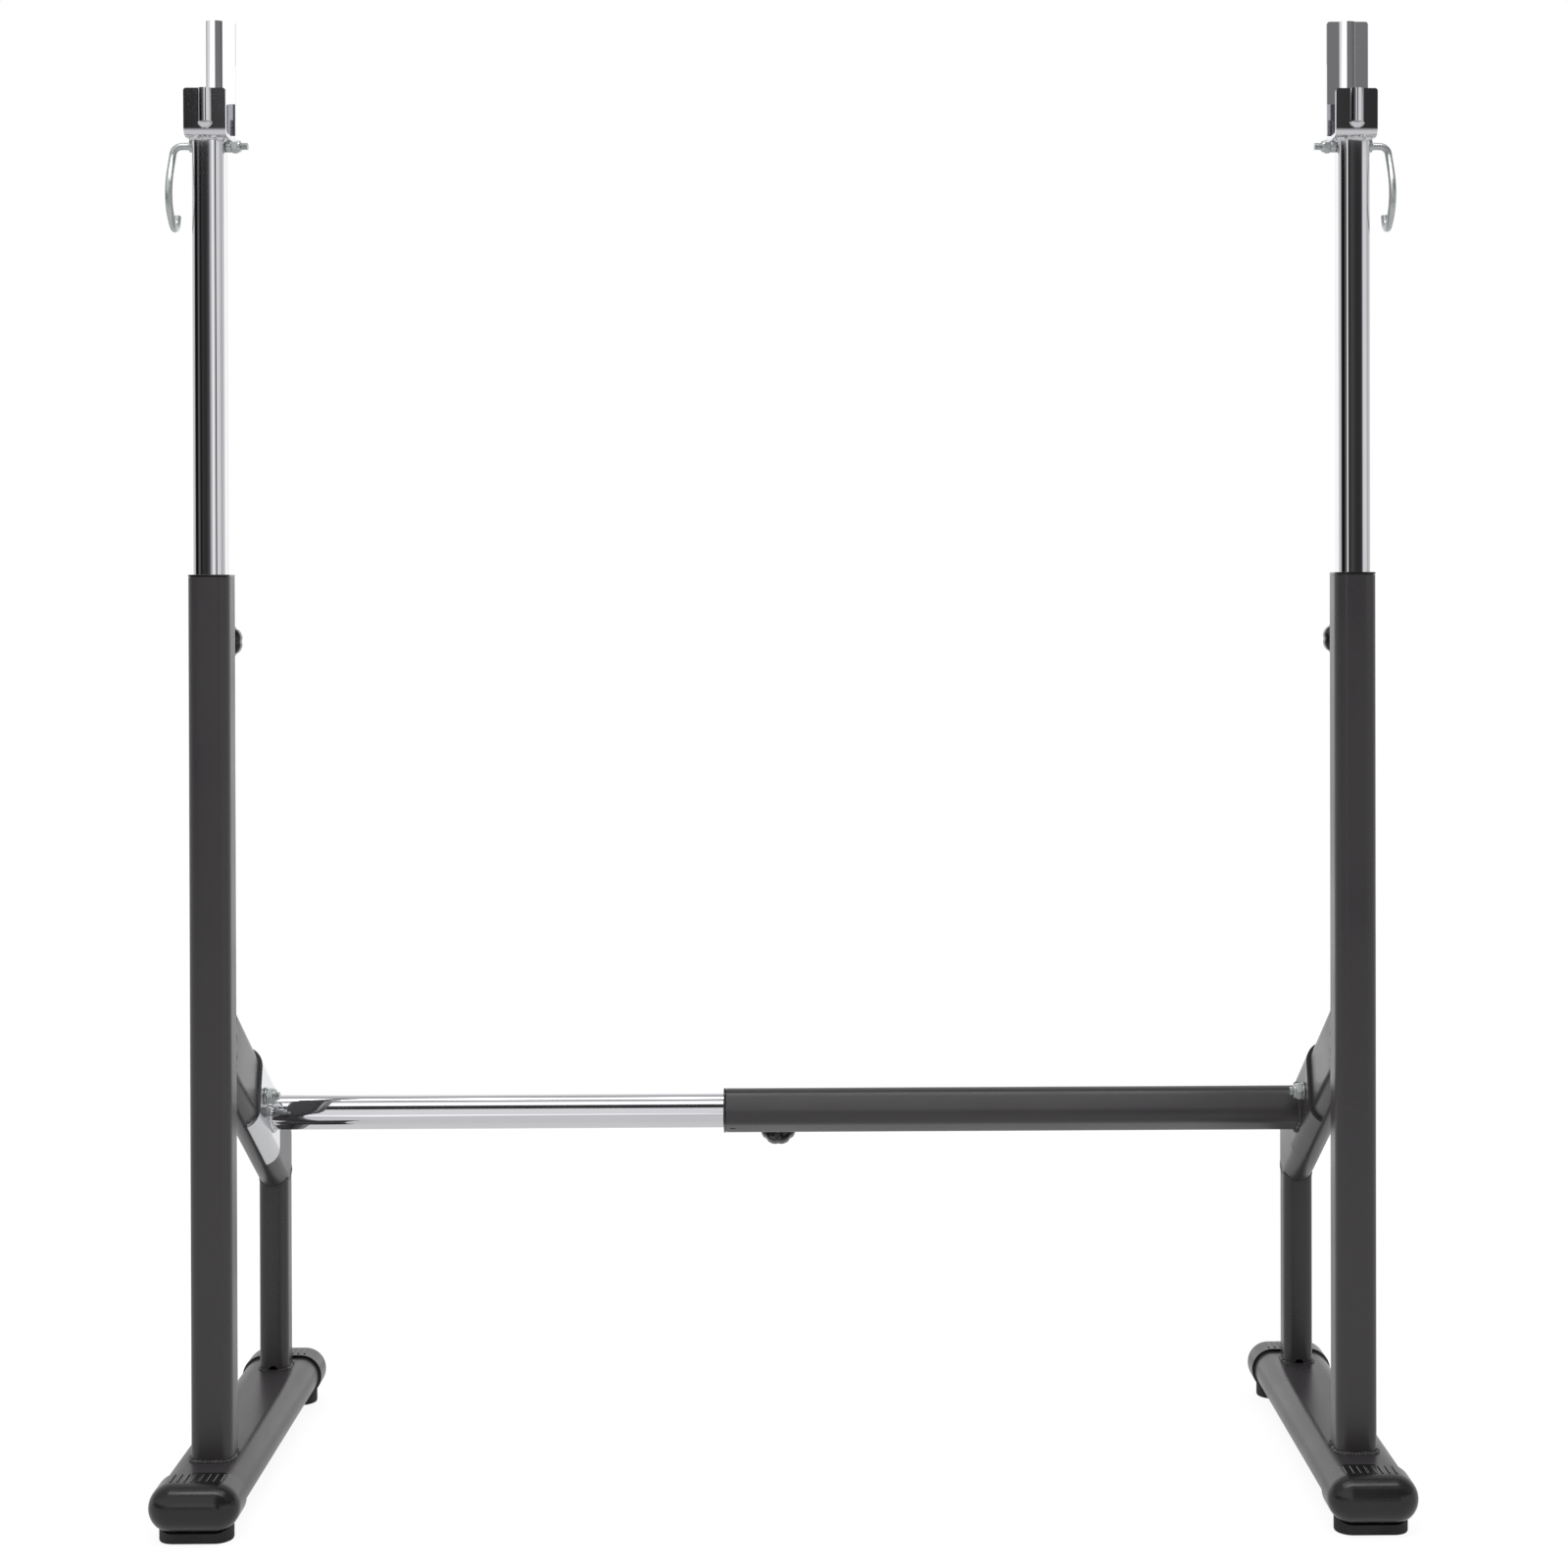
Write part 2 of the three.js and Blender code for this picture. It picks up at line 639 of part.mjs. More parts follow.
function bracketParts(name, bracketMaterial) {
  const bore = boltDiameter + 2 * gap;
  const washerSeat = bracketFace + gap;
  const nutSeat = washerSeat + washerThickness + gap;
  const tail = nutSeat + nutHex + nutCollar + boltTail;
  const headSeat = braceWidth / 2 + gap;
  const head = hexagon(boltAcrossFlats, headSeat, headSeat + boltHead);
  const shank = rod(boltDiameter, -tail, headSeat + gap, "x");
  const washer = ring(washerDiameter, bore, -washerSeat - washerThickness, -washerSeat, "x");
  const nutBody = nut(boltAcrossFlats, nutHex, nutCollar, bore, nutSeat).rotateZ(Math.PI);
  const atBolt = (mesh) => place(mesh, 0, -boltOffset, 0);
  const group = new THREE.Group();
  group.add(piece(name("bracket"), bracket(), bracketMaterial));
  group.add(atBolt(piece(name("bracket_bolt"), join(head, shank), zinc)));
  group.add(atBolt(piece(name("bracket_washer"), washer, zinc)));
  group.add(atBolt(piece(name("bracket_nut"), nutBody, zinc)));
  group.add(piece(name("brace"), brace(), painted));
  return group;
}

// One stand, drawn as the right one: its inner side faces -X. The left one is its mirror image.
function stand(side) {
  const name = (word) => side + "_" + word;
  const group = new THREE.Group();

  const footStart = footFront + capDome + gap;
  const footEnd = footRear - capDome - gap;
  const footTube = tube(footSection(0), footSection(-footWall), footStart, footEnd, "y");
  group.add(place(piece(name("foot_tube"), footTube, painted), 0, 0, footAxis));
  const rearCap = piece(name("rear_cap"), endCap(), greyPlastic);
  rearCap.rotation.z = Math.PI;
  group.add(place(rearCap, 0, footRear, footAxis));
  group.add(place(piece(name("front_cap"), endCap(), greyPlastic), 0, footFront, footAxis));
  group.add(place(piece(name("front_pad"), pad(), rubber), 0, footFront + padSetback, 0));
  group.add(place(piece(name("rear_pad"), pad(), rubber), 0, footRear - padSetback, 0));

  group.add(piece(name("upright_tube"), uprightTube(), painted));
  group.add(piece(name("rear_leg"), rearLeg(), painted));
  group.add(place(piece(name("upright_bush"), bush(), blackPlastic), 0, 0, uprightTop));
  group.add(place(piece(name("mast_tube"), mastTube(), plated), 0, 0, mastBase));
  group.add(place(piece(name("mast_plug"), plug(), blackPlastic), 0, 0, mastBase));
  group.add(place(piece(name("cradle"), cradle(), plated), 0, 0, cradleBase));
  group.add(place(hook(name), 0, 0, hookHeight));
  group.add(place(lock(name("")), 0, uprightSize / 2, lockHeight));

  const slope = bracketParts(name, side === "left" ? plated : painted);
  slope.rotation.x = -braceAngle;
  group.add(place(slope, 0, crossbarSetback, crossbarHeight));

  group.scale.x = side === "left" ? -1 : 1;
  return place(group, (group.scale.x * standSpacing) / 2, uprightY, 0);
}

// The crossbar, in its own frame: X along it and Y down the slope of the braces.
function crossbar() {
  const half = uprightSize / 2;
  const outer = tube(uprightSection(0), uprightSection(-uprightWall), crossbarMouth, crossbarEnd, "x");
  const pinHole = rod(pinDiameter + 2 * gap, 0, uprightSize, "y").translate(crossbarLock, 0, 0);
  const slotStart = crossbarMouth + windowSetback;
  const slotLow = [slotStart, -windowHeight / 2, -half - overrun];
  const slotHigh = [slotStart + windowWidth, windowHeight / 2, 0];
  const inner = tube(mastSection(0), mastSection(-mastWall), -crossbarEnd, crossbarTip, "x");
  const places = holePlaces(crossbarLock, crossbarHolesLeft, crossbarHolesRight);
  const holes = places.map((x) => adjustingHole().translate(x, 0, 0));

  const group = new THREE.Group();
  const outerTube = cut(outer, pinHole, block(slotLow, slotHigh));
  group.add(piece("crossbar_outer_tube", outerTube, painted));
  group.add(piece("crossbar_inner_tube", cut(inner, ...holes), plated));
  const mouthBush = piece("crossbar_bush", bush(), blackPlastic);
  const tipPlug = piece("crossbar_plug", plug(), blackPlastic);
  mouthBush.rotation.y = -Math.PI / 2;
  tipPlug.rotation.y = -Math.PI / 2;
  group.add(place(mouthBush, crossbarMouth, 0, 0));
  group.add(place(tipPlug, crossbarTip, 0, 0));
  group.add(place(lock("width_"), crossbarLock, half, 0));
  group.rotation.x = -braceAngle;
  return place(group, 0, uprightY + crossbarSetback, crossbarHeight);
}

const squatStand = new THREE.Group();
squatStand.add(stand("left"), stand("right"), crossbar());

export default squatStand;
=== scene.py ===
# A squat stand in metres: two mirror-image stands joined by a telescoping crossbar.
# X runs from the left stand to the right one, Y from the front to the rear, and Z up.
# The sections follow the object as it is put together, from the uprights to the welds, the insides of the
# tubes and the studio.

import math
import random

import bmesh
import bpy
from mathutils import Matrix, Vector
from mathutils.bvhtree import BVHTree


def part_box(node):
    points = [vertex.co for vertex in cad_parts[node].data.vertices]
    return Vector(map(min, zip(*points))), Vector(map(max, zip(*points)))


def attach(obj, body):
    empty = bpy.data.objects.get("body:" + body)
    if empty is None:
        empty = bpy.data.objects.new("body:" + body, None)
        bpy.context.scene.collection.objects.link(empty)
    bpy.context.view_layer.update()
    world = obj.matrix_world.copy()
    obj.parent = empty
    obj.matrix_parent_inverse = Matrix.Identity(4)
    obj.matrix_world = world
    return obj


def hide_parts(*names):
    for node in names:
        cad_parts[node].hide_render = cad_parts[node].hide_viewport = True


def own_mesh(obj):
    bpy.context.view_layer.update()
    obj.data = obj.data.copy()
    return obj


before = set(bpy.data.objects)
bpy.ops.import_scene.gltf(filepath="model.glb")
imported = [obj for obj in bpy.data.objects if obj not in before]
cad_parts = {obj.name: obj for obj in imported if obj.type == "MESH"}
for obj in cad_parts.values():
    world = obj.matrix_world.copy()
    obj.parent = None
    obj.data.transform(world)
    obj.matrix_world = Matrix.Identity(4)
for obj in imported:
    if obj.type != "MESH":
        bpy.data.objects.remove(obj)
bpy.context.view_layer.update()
scene = bpy.context.scene

# Camera: almost level in front of the stand, a little above its middle and a little to the right.
# Its lens is shifted down, so that the tubes stay upright in the picture.
CAMERA_PLACE = (0.0196, -2.7810, 0.9842)
CAMERA_TURN = math.radians(-0.754)
CAMERA_TILT = math.radians(-0.285)
CAMERA_ROLL = math.radians(-0.141)
CAMERA_LENS = 55.94
CAMERA_SENSOR = 36
CAMERA_SHIFT = (-0.0319, -0.1100)


def at(x, y, z):
    """A matrix that moves a thing without turning it."""
    return Matrix.Translation((x, y, z))


def placed(name, data):
    """A new object in the scene."""
    thing = bpy.data.objects.new(name, data)
    scene.collection.objects.link(thing)
    return thing


camera = placed("camera", bpy.data.cameras.new("camera"))
camera.data.sensor_width = CAMERA_SENSOR
camera.data.lens = CAMERA_LENS
camera.data.shift_x, camera.data.shift_y = CAMERA_SHIFT
level = Matrix.Rotation(math.pi / 2 + CAMERA_TILT, 4, "X") @ Matrix.Rotation(CAMERA_ROLL, 4, "Z")
camera.matrix_world = at(*CAMERA_PLACE) @ Matrix.Rotation(CAMERA_TURN, 4, "Z") @ level
scene.camera = camera

# Uprights: rounded-square steel tube, powder coated warm dark grey, welded on the feet.
# Each has one hole at the rear, near its top, for the lock's pin.
SIDES = {"left": -1, "right": 1}
SPACING = 1.236
UPRIGHT_Y = -0.140
TUBE_SIZE = 0.045
TUBE_CORNER = 0.012
TUBE_WALL = 0.002
TUBE_CROWN = 0.0005
CROWN_STEPS = 6
PIN_HOLE = 0.0106
SEAM = 0.0003
RIM = 0.0005
CORNER_FACETS = 9
MERGE = 1e-5
CREASE = math.radians(32)
SHARP = math.radians(60)
OVERRUN = 0.003
CLOUD_RANGE = (0.32, 0.68)


def surface_group():
    """Uneven gloss and grain that every finish here takes in its own amount."""
    group = bpy.data.node_groups.new("surface unevenness", "ShaderNodeTree")
    for label, start in (("Grain Scale", 900), ("Cloud Scale", 9), ("Lowest", 0.3), ("Highest", 0.5)):
        socket = group.interface.new_socket(name=label, in_out="INPUT", socket_type="NodeSocketFloat")
        socket.default_value = start
    for label in ("Level", "Clouds", "Grain"):
        group.interface.new_socket(name=label, in_out="OUTPUT", socket_type="NodeSocketFloat")
    nodes, links = group.nodes, group.links
    given = nodes.new("NodeGroupInput")
    made = nodes.new("NodeGroupOutput")
    place = nodes.new("ShaderNodeTexCoord")
    noises = {}
    for label, detail in (("Grain", 2), ("Cloud", 5)):
        noises[label] = nodes.new("ShaderNodeTexNoise")
        noises[label].inputs["Detail"].default_value = detail
        links.new(place.outputs["Object"], noises[label].inputs["Vector"])
        links.new(given.outputs[label + " Scale"], noises[label].inputs["Scale"])
    spread = nodes.new("ShaderNodeMapRange")
    spread.inputs["From Min"].default_value, spread.inputs["From Max"].default_value = CLOUD_RANGE
    links.new(noises["Cloud"].outputs["Fac"], spread.inputs["Value"])
    links.new(given.outputs["Lowest"], spread.inputs["To Min"])
    links.new(given.outputs["Highest"], spread.inputs["To Max"])
    links.new(spread.outputs["Result"], made.inputs["Level"])
    links.new(noises["Cloud"].outputs["Fac"], made.inputs["Clouds"])
    links.new(noises["Grain"].outputs["Fac"], made.inputs["Grain"])
    return group


UNEVENNESS = surface_group()


def finish(name, shades, gloss, grain, clouds, bump, **sockets):
    """A material whose colour drifts between two shades and whose gloss drifts between two levels."""
    material = bpy.data.materials.new(name)
    material.use_nodes = True
    nodes, links = material.node_tree.nodes, material.node_tree.links
    shader = nodes["Principled BSDF"]
    for socket, amount in sockets.items():
        shader.inputs[socket.replace("_", " ")].default_value = amount
    uneven = nodes.new("ShaderNodeGroup")
    uneven.node_tree = UNEVENNESS
    uneven.inputs["Grain Scale"].default_value = grain
    uneven.inputs["Cloud Scale"].default_value = clouds
    uneven.inputs["Lowest"].default_value, uneven.inputs["Highest"].default_value = gloss
    links.new(uneven.outputs["Level"], shader.inputs["Roughness"])
    shade = nodes.new("ShaderNodeMix")
    shade.data_type = "RGBA"
    shade.inputs["A"].default_value = (*shades[0], 1)
    shade.inputs["B"].default_value = (*shades[1], 1)
    links.new(uneven.outputs["Clouds"], shade.inputs["Factor"])
    links.new(shade.outputs["Result"], shader.inputs["Base Color"])
    relief = nodes.new("ShaderNodeBump")
    relief.inputs["Strength"].default_value, relief.inputs["Distance"].default_value = bump
    links.new(uneven.outputs["Grain"], relief.inputs["Height"])
    links.new(relief.outputs["Normal"], shader.inputs["Normal"])
    return material


def rounded_face(width, depth, corner, facets=CORNER_FACETS):
    """A new mesh of one flat face with rounded corners, round the origin."""
    bm = bmesh.new()
    bmesh.ops.create_grid(bm, x_segments=1, y_segments=1, size=0.5)
    bmesh.ops.scale(bm, vec=(width, depth, 1), verts=bm.verts)
    bmesh.ops.bevel(bm, geom=bm.verts[:], offset=corner, segments=facets, profile=0.5,
                    affect="VERTICES", material=-1)
    bmesh.ops.remove_doubles(bm, verts=bm.verts, dist=MERGE)
    return bm


def hollowed(bm, wall):
    """Leaves a ring of one wall's thickness of a flat face."""
    middle = bm.faces[:]
    bmesh.ops.inset_region(bm, faces=middle, thickness=wall, use_even_offset=True, use_boundary=True)
    bmesh.ops.delete(bm, geom=middle, context="FACES")
    return bm


def extruded(bm, faces):
    """Extrudes faces where they are, and gives the new faces and their verts."""
    made = bmesh.ops.extrude_face_region(bm, geom=faces)["geom"]
    return ([part for part in made if isinstance(part, bmesh.types.BMFace)],
            [part for part in made if isinstance(part, bmesh.types.BMVert)])


def drawn(bm, start, end):
    """Draws a flat face out along Z into a bar or tube."""
    bmesh.ops.translate(bm, vec=(0, 0, start), verts=bm.verts)
    far = extruded(bm, bm.faces[:])[1]
    bmesh.ops.translate(bm, vec=(0, 0, end - start), verts=far)
    bmesh.ops.recalc_face_normals(bm, faces=bm.faces)
    return bm


def eased(bm, size, segments=2):
    """Breaks the sharp edges."""
    sharp = [e for e in bm.edges if len(e.link_faces) == 2 and e.calc_face_angle() > SHARP]
    bmesh.ops.bevel(bm, geom=sharp, offset=size, segments=segments, profile=0.5,
                    affect="EDGES", material=-1, clamp_overlap=True)
    return bm


def crowned_face(size, corner):
    """A rounded square whose sides belly out a little, as drawn tube does."""
    core = size - 2 * TUBE_CROWN
    bm = rounded_face(core, core, corner)
    sides = [edge for edge in bm.edges if edge.calc_length() > corner]
    bmesh.ops.subdivide_edges(bm, edges=sides, cuts=CROWN_STEPS)
    for vert in bm.verts:
        x, y = 2 * vert.co.x / core, 2 * vert.co.y / core
        vert.co.x += TUBE_CROWN * x * (1 - y ** 2)
        vert.co.y += TUBE_CROWN * y * (1 - x ** 2)
    return bm


def tube_mesh(size, corner, wall, start, end):
    """A tube along Z with its cut ends eased."""
    return eased(drawn(hollowed(crowned_face(size, corner), wall), start, end), RIM)


def moved(bm, *matrices):
    """Applies matrices to a mesh, the last one first."""
    whole = Matrix.Identity(4)
    for matrix in matrices:
        whole = whole @ matrix
    bmesh.ops.transform(bm, matrix=whole, verts=bm.verts)
    return bm


def round_bar(diameter, start, end, facets=32):
    """A round bar along Z."""
    bm = bmesh.new()
    bmesh.ops.create_cone(bm, cap_ends=True, segments=facets, radius1=diameter / 2,
                          radius2=diameter / 2, depth=end - start)
    bmesh.ops.translate(bm, vec=(0, 0, (start + end) / 2), verts=bm.verts)
    return bm


def settled(bm, name="part"):
    """Mesh data with what was edited in it, which is then let go."""
    mesh = bpy.data.meshes.new(name)
    bm.to_mesh(mesh)
    bm.free()
    return mesh


def combined(bm, other, operation):
    """One solid cut by, joined to or kept inside another, as a new mesh."""
    holders = [placed("part", settled(part)) for part in (bm, other)]
    modifier = holders[0].modifiers.new("combined", "BOOLEAN")
    modifier.operation = operation
    modifier.solver = "EXACT"
    modifier.object = holders[1]
    result = bmesh.new()
    result.from_object(holders[0], bpy.context.evaluated_depsgraph_get())
    for holder in holders:
        bpy.data.objects.remove(holder)
    bmesh.ops.remove_doubles(result, verts=result.verts, dist=MERGE)
    bmesh.ops.dissolve_degenerate(result, edges=result.edges, dist=MERGE)
    return result


def shown(bm, name, body, slot, material, *nodes):
    """Makes the finished piece of a mesh: smooth over its rounded edges, riding on its body."""
    bmesh.ops.remove_doubles(bm, verts=bm.verts, dist=MERGE)
    bmesh.ops.recalc_face_normals(bm, faces=bm.faces)
    for face in bm.faces:
        face.smooth = True
    for edge in bm.edges:
        edge.smooth = len(edge.link_faces) == 2 and edge.calc_face_angle() < CREASE
    piece = placed(name, settled(bm, name))
    piece.data.materials.append(material)
    even = piece.modifiers.new("even light", "WEIGHTED_NORMAL")
    even.keep_sharp = True
    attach(piece, body)
    if nodes:
        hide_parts(*nodes)
    return piece


def stand_matrix(side):
    """From the right upright's own frame, with the floor as zero, to one side of the object."""
    sign = SIDES[side]
    return at(sign * SPACING / 2, UPRIGHT_Y, 0) @ Matrix.Diagonal((sign, 1, 1, 1))


ALONG_X = Matrix.Rotation(math.pi / 2, 4, "Y")
AGAINST_X = Matrix.Rotation(-math.pi / 2, 4, "Y")
ALONG_Y = Matrix.Rotation(-math.pi / 2, 4, "X")

paint = finish("warm grey powder coat", ((0.032, 0.029, 0.032), (0.040, 0.037, 0.039)), (0.25, 0.36),
               grain=1500, clouds=7, bump=(0.10, 0.0004), Specular_IOR_Level=0.4)

upright_low, upright_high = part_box("right_upright_tube")
lock_low, lock_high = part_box("right_lock_barrel")
LOCK_HEIGHT = (lock_low.z + lock_high.z) / 2
for side in SIDES:
    tube = tube_mesh(TUBE_SIZE, TUBE_CORNER, TUBE_WALL, upright_low.z, upright_high.z)
    hole = moved(round_bar(PIN_HOLE, 0, TUBE_SIZE), at(0, 0, LOCK_HEIGHT), ALONG_Y)
    tube = combined(tube, hole, "DIFFERENCE")
    moved(tube, stand_matrix(side))
    shown(tube, side + "_upright", side + "_stand", "painted_steel", paint, side + "_upright_tube")

# Feet: flat-oval steel tube, painted like the uprights, lying from front to rear.
# The upright and the rear leg are welded on top of it.
FOOT_WIDTH = 0.090
FOOT_HEIGHT = 0.045
foot_low, foot_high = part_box("right_foot_tube")
FOOT_AXIS = (foot_low.z + foot_high.z) / 2
OVAL_FACETS = 14


def oval_face(width, depth, offset=0):
    """A flat oval, drawn in or out by an offset."""
    width, depth = width + 2 * offset, depth + 2 * offset
    return rounded_face(width, depth, min(width, depth) / 2, OVAL_FACETS)


for side in SIDES:
    ring = hollowed(oval_face(FOOT_WIDTH, FOOT_HEIGHT), TUBE_WALL)
    bar = eased(drawn(ring, foot_low.y, foot_high.y), RIM)
    moved(bar, at(SIDES[side] * SPACING / 2, 0, FOOT_AXIS), ALONG_Y)
    shown(bar, side + "_foot", side + "_stand", "painted_steel", paint, side + "_foot_tube")

# End caps: moulded dark grey plastic, slipped over both ends of each foot, with a rounded end.
# Eight fine ribs are moulded along the top of each cap's collar.
CAP_WALL = 0.003
CAP_LENGTH = 0.050
CAP_DOME = 0.022
CAP_POCKET = 0.033
CAP_STEPS = 12
CAP_REACH = 0.96
FACING = 0.9
RIB_COUNT = 8
RIB_SIZE = (0.0026, 0.022, 0.004)
RIB_SPREAD = 0.052
RIB_PROUD = 0.0009

cap_plastic = finish("satin grey plastic", ((0.006, 0.005, 0.006), (0.010, 0.009, 0.010)), (0.20, 0.30),
                     grain=2200, clouds=30, bump=(0.10, 0.0002), Specular_IOR_Level=0.46)


def cap_mesh():
    """A cap whose mouth is at the origin and whose rounded end points along Z."""
    bm = drawn(oval_face(FOOT_WIDTH, FOOT_HEIGHT, CAP_WALL), 0, CAP_LENGTH - CAP_DOME)
    end = [face for face in bm.faces if face.normal.z > FACING]
    mouth = [face for face in bm.faces if face.normal.z < -FACING]
    straight = (FOOT_WIDTH - FOOT_HEIGHT) / 2
    for step in range(1, CAP_STEPS + 1):
        angle = step / CAP_STEPS * math.pi / 2
        share = 1 - CAP_REACH * (1 - math.cos(angle))
        end = extruded(bm, end)[0]
        for vert in end[0].verts:
            centre = max(-straight, min(straight, vert.co.x))
            outward = Vector((vert.co.x - centre, vert.co.y)).normalized()
            outward *= (FOOT_HEIGHT / 2 + CAP_WALL) * share
            vert.co = (centre + outward.x, outward.y, CAP_LENGTH - CAP_DOME * (1 - math.sin(angle)))
    bmesh.ops.inset_region(bm, faces=mouth, thickness=CAP_WALL - SEAM, use_even_offset=True)
    bmesh.ops.translate(bm, vec=(0, 0, CAP_POCKET), verts=extruded(bm, mouth)[1])
    return bm


def block(size, centre=(0, 0, 0)):
    """A plain block."""
    bm = bmesh.new()
    bmesh.ops.create_cube(bm, size=1)
    bmesh.ops.scale(bm, vec=size, verts=bm.verts)
    bmesh.ops.translate(bm, vec=centre, verts=bm.verts)
    return bm


def rib_mesh(index):
    """One moulded rib, on the collar's top, in the cap's frame before it is laid down."""
    bm = block(RIB_SIZE)
    bmesh.ops.bevel(bm, geom=bm.edges[:], offset=RIB_PROUD, segments=3, profile=0.5,
                    affect="EDGES", material=-1)
    across = RIB_SPREAD * (index / (RIB_COUNT - 1) - 0.5)
    width, height = FOOT_WIDTH + 2 * CAP_WALL, FOOT_HEIGHT + 2 * CAP_WALL
    aside = max(0, abs(across) - (width - height) / 2)
    top = math.sqrt((height / 2) ** 2 - aside ** 2)
    bmesh.ops.translate(bm, vec=(across, 0, top + RIB_PROUD - RIB_SIZE[2] / 2), verts=bm.verts)
    return bm


def added(bm, other):
    """Puts another mesh into the first one."""
    mesh = settled(other)
    bm.from_mesh(mesh)
    bpy.data.meshes.remove(mesh)
    return bm


for side in SIDES:
    for end, sign in (("front", -1), ("rear", 1)):
        low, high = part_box(side + "_" + end + "_cap")
        mouth = high.y if sign < 0 else low.y
        middle = mouth + sign * CAP_POCKET / 2
        centre = SIDES[side] * SPACING / 2
        turn = Matrix.Rotation(-sign * math.pi / 2, 4, "X")
        cap = moved(cap_mesh(), at(centre, mouth, FOOT_AXIS), turn)
        for index in range(RIB_COUNT):
            added(cap, moved(rib_mesh(index), at(centre, middle, FOOT_AXIS)))
        shown(cap, side + "_" + end + "_end_cap", side + "_stand", "cap_plastic", cap_plastic,
              side + "_" + end + "_cap")

# Pads: black rubber feet under the caps, each pressed into its cap by a boss.
# Their sides rise round the cap's underside.
PAD_WIDTH = 0.078
PAD_LENGTH = 0.035
PAD_TOP = 0.018
PAD_EASE = 0.0015

rubber = finish("black rubber", ((0.010, 0.009, 0.010), (0.018, 0.017, 0.018)), (0.7, 0.88),
                grain=2600, clouds=40, bump=(0.35, 0.0004))

for side in SIDES:
    for end in ("front", "rear"):
        low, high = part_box(side + "_" + end + "_pad")
        pad = eased(drawn(rounded_face(PAD_WIDTH, PAD_LENGTH, PAD_LENGTH / 2), 0, PAD_TOP), PAD_EASE)
        room = drawn(oval_face(FOOT_WIDTH, FOOT_HEIGHT, CAP_WALL + SEAM), -PAD_LENGTH, PAD_LENGTH)
        moved(room, at(0, 0, FOOT_AXIS), ALONG_Y)
        pad = combined(pad, room, "DIFFERENCE")
        moved(pad, at((low.x + high.x) / 2, (low.y + high.y) / 2, 0))
        shown(pad, side + "_" + end + "_rubber_pad", side + "_stand", "rubber", rubber,
              side + "_" + end + "_pad")

# Braces: flat-oval steel tube from each upright down to the rear leg, painted.
# The rear end is closed, rounded below and flush with the leg behind.
BRACE_HEIGHT = 0.080
BRACE_WIDTH = 0.035
BRACE_ANGLE = math.radians(33.5)
BRACE_END_ROUND = 0.040
BRACE_LOW = 0.280
CROSSBAR_SETBACK = 0.198
CROSSBAR_HEIGHT = 0.389
LEG_SIZE = 0.035
LEG_CORNER = 0.009
LEG_Y = 0.308
LONG = 0.6

SLOPE = at(0, CROSSBAR_SETBACK, CROSSBAR_HEIGHT) @ Matrix.Rotation(-BRACE_ANGLE, 4, "X")


def side_form(front, rear, low, corner, lean=0):
    """Everything between two faces and above a floor, with the rear lower edge rounded.

    The front face leans back by an angle round the height of the brace's middle there.
    """
    bm = block((LONG, rear - front, LONG), (0, (front + rear) / 2, low + LONG / 2))
    edge = [e for e in bm.edges if all(v.co.y > rear - MERGE and v.co.z < low + MERGE for v in e.verts)]
    bmesh.ops.bevel(bm, geom=edge, offset=corner, segments=2 * OVAL_FACETS, profile=0.5,
                    affect="EDGES", material=-1)
    middle = CROSSBAR_HEIGHT + (CROSSBAR_SETBACK - front) * math.tan(BRACE_ANGLE)
    for vert in bm.verts:
        if vert.co.y < front + MERGE:
            vert.co.y += (vert.co.z - middle) * math.tan(lean)
    return bm


def brace_form(offset, front):
    """The brace's outside, drawn in or out by an offset, in the stand's frame."""
    bar = drawn(oval_face(BRACE_WIDTH, BRACE_HEIGHT, offset), -LONG, LONG)
    moved(bar, SLOPE, ALONG_Y)
    rear = LEG_Y + LEG_SIZE / 2 + offset
    cut = combined(bar, side_form(front, rear, BRACE_LOW - offset, BRACE_END_ROUND + offset), "INTERSECT")
    reach = rear - front + LEG_CORNER
    plan = drawn(rounded_face(LEG_SIZE + 2 * offset, reach, LEG_CORNER), 0, 2 * LONG)
    moved(plan, at(0, rear - reach / 2, 0))
    return combined(cut, plan, "INTERSECT")


BRACE_FRONT = TUBE_SIZE / 2 + SEAM
for side in SIDES:
    brace = moved(brace_form(0, BRACE_FRONT), stand_matrix(side))
    shown(brace, side + "_slanting_brace", side + "_stand", "painted_steel", paint, side + "_brace")

# Rear legs: short rounded-square steel tube from the foot up to the brace, painted.
# The top is shaped to the brace's underside, and a half-round vent is cut in the foot of the front face.
LEG_WALL = 0.002
VENT = 0.0105
leg_low, leg_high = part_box("right_rear_leg")
for side in SIDES:
    leg = tube_mesh(LEG_SIZE, LEG_CORNER, LEG_WALL, leg_low.z, leg_high.z)
    moved(leg, at(0, LEG_Y, 0))
    leg = combined(leg, brace_form(SEAM, 0), "DIFFERENCE")
    vent = moved(round_bar(VENT, LEG_Y - LEG_SIZE, LEG_Y), at(0, 0, leg_low.z), ALONG_Y)
    leg = combined(leg, vent, "DIFFERENCE")
    moved(leg, stand_matrix(side))
    shown(leg, side + "_leg", side + "_stand", "painted_steel", paint, side + "_rear_leg")

# Masts: rounded-square steel tube, chrome plated, that slide in the uprights.
# A row of adjusting holes runs up the rear face, and the hook's rod passes through near the top.
MAST_SIZE = 0.035
MAST_CORNER = 0.009
MAST_WALL = 0.0015
HOLE_PITCH = 0.050
HOLES_ABOVE = 9
HOLES_BELOW = 3
HOOK_ROD = 0.008
HOOK_DROP = 0.007
mast_low, mast_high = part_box("right_mast_tube")
HOOK_HEIGHT = mast_high.z - HOOK_DROP

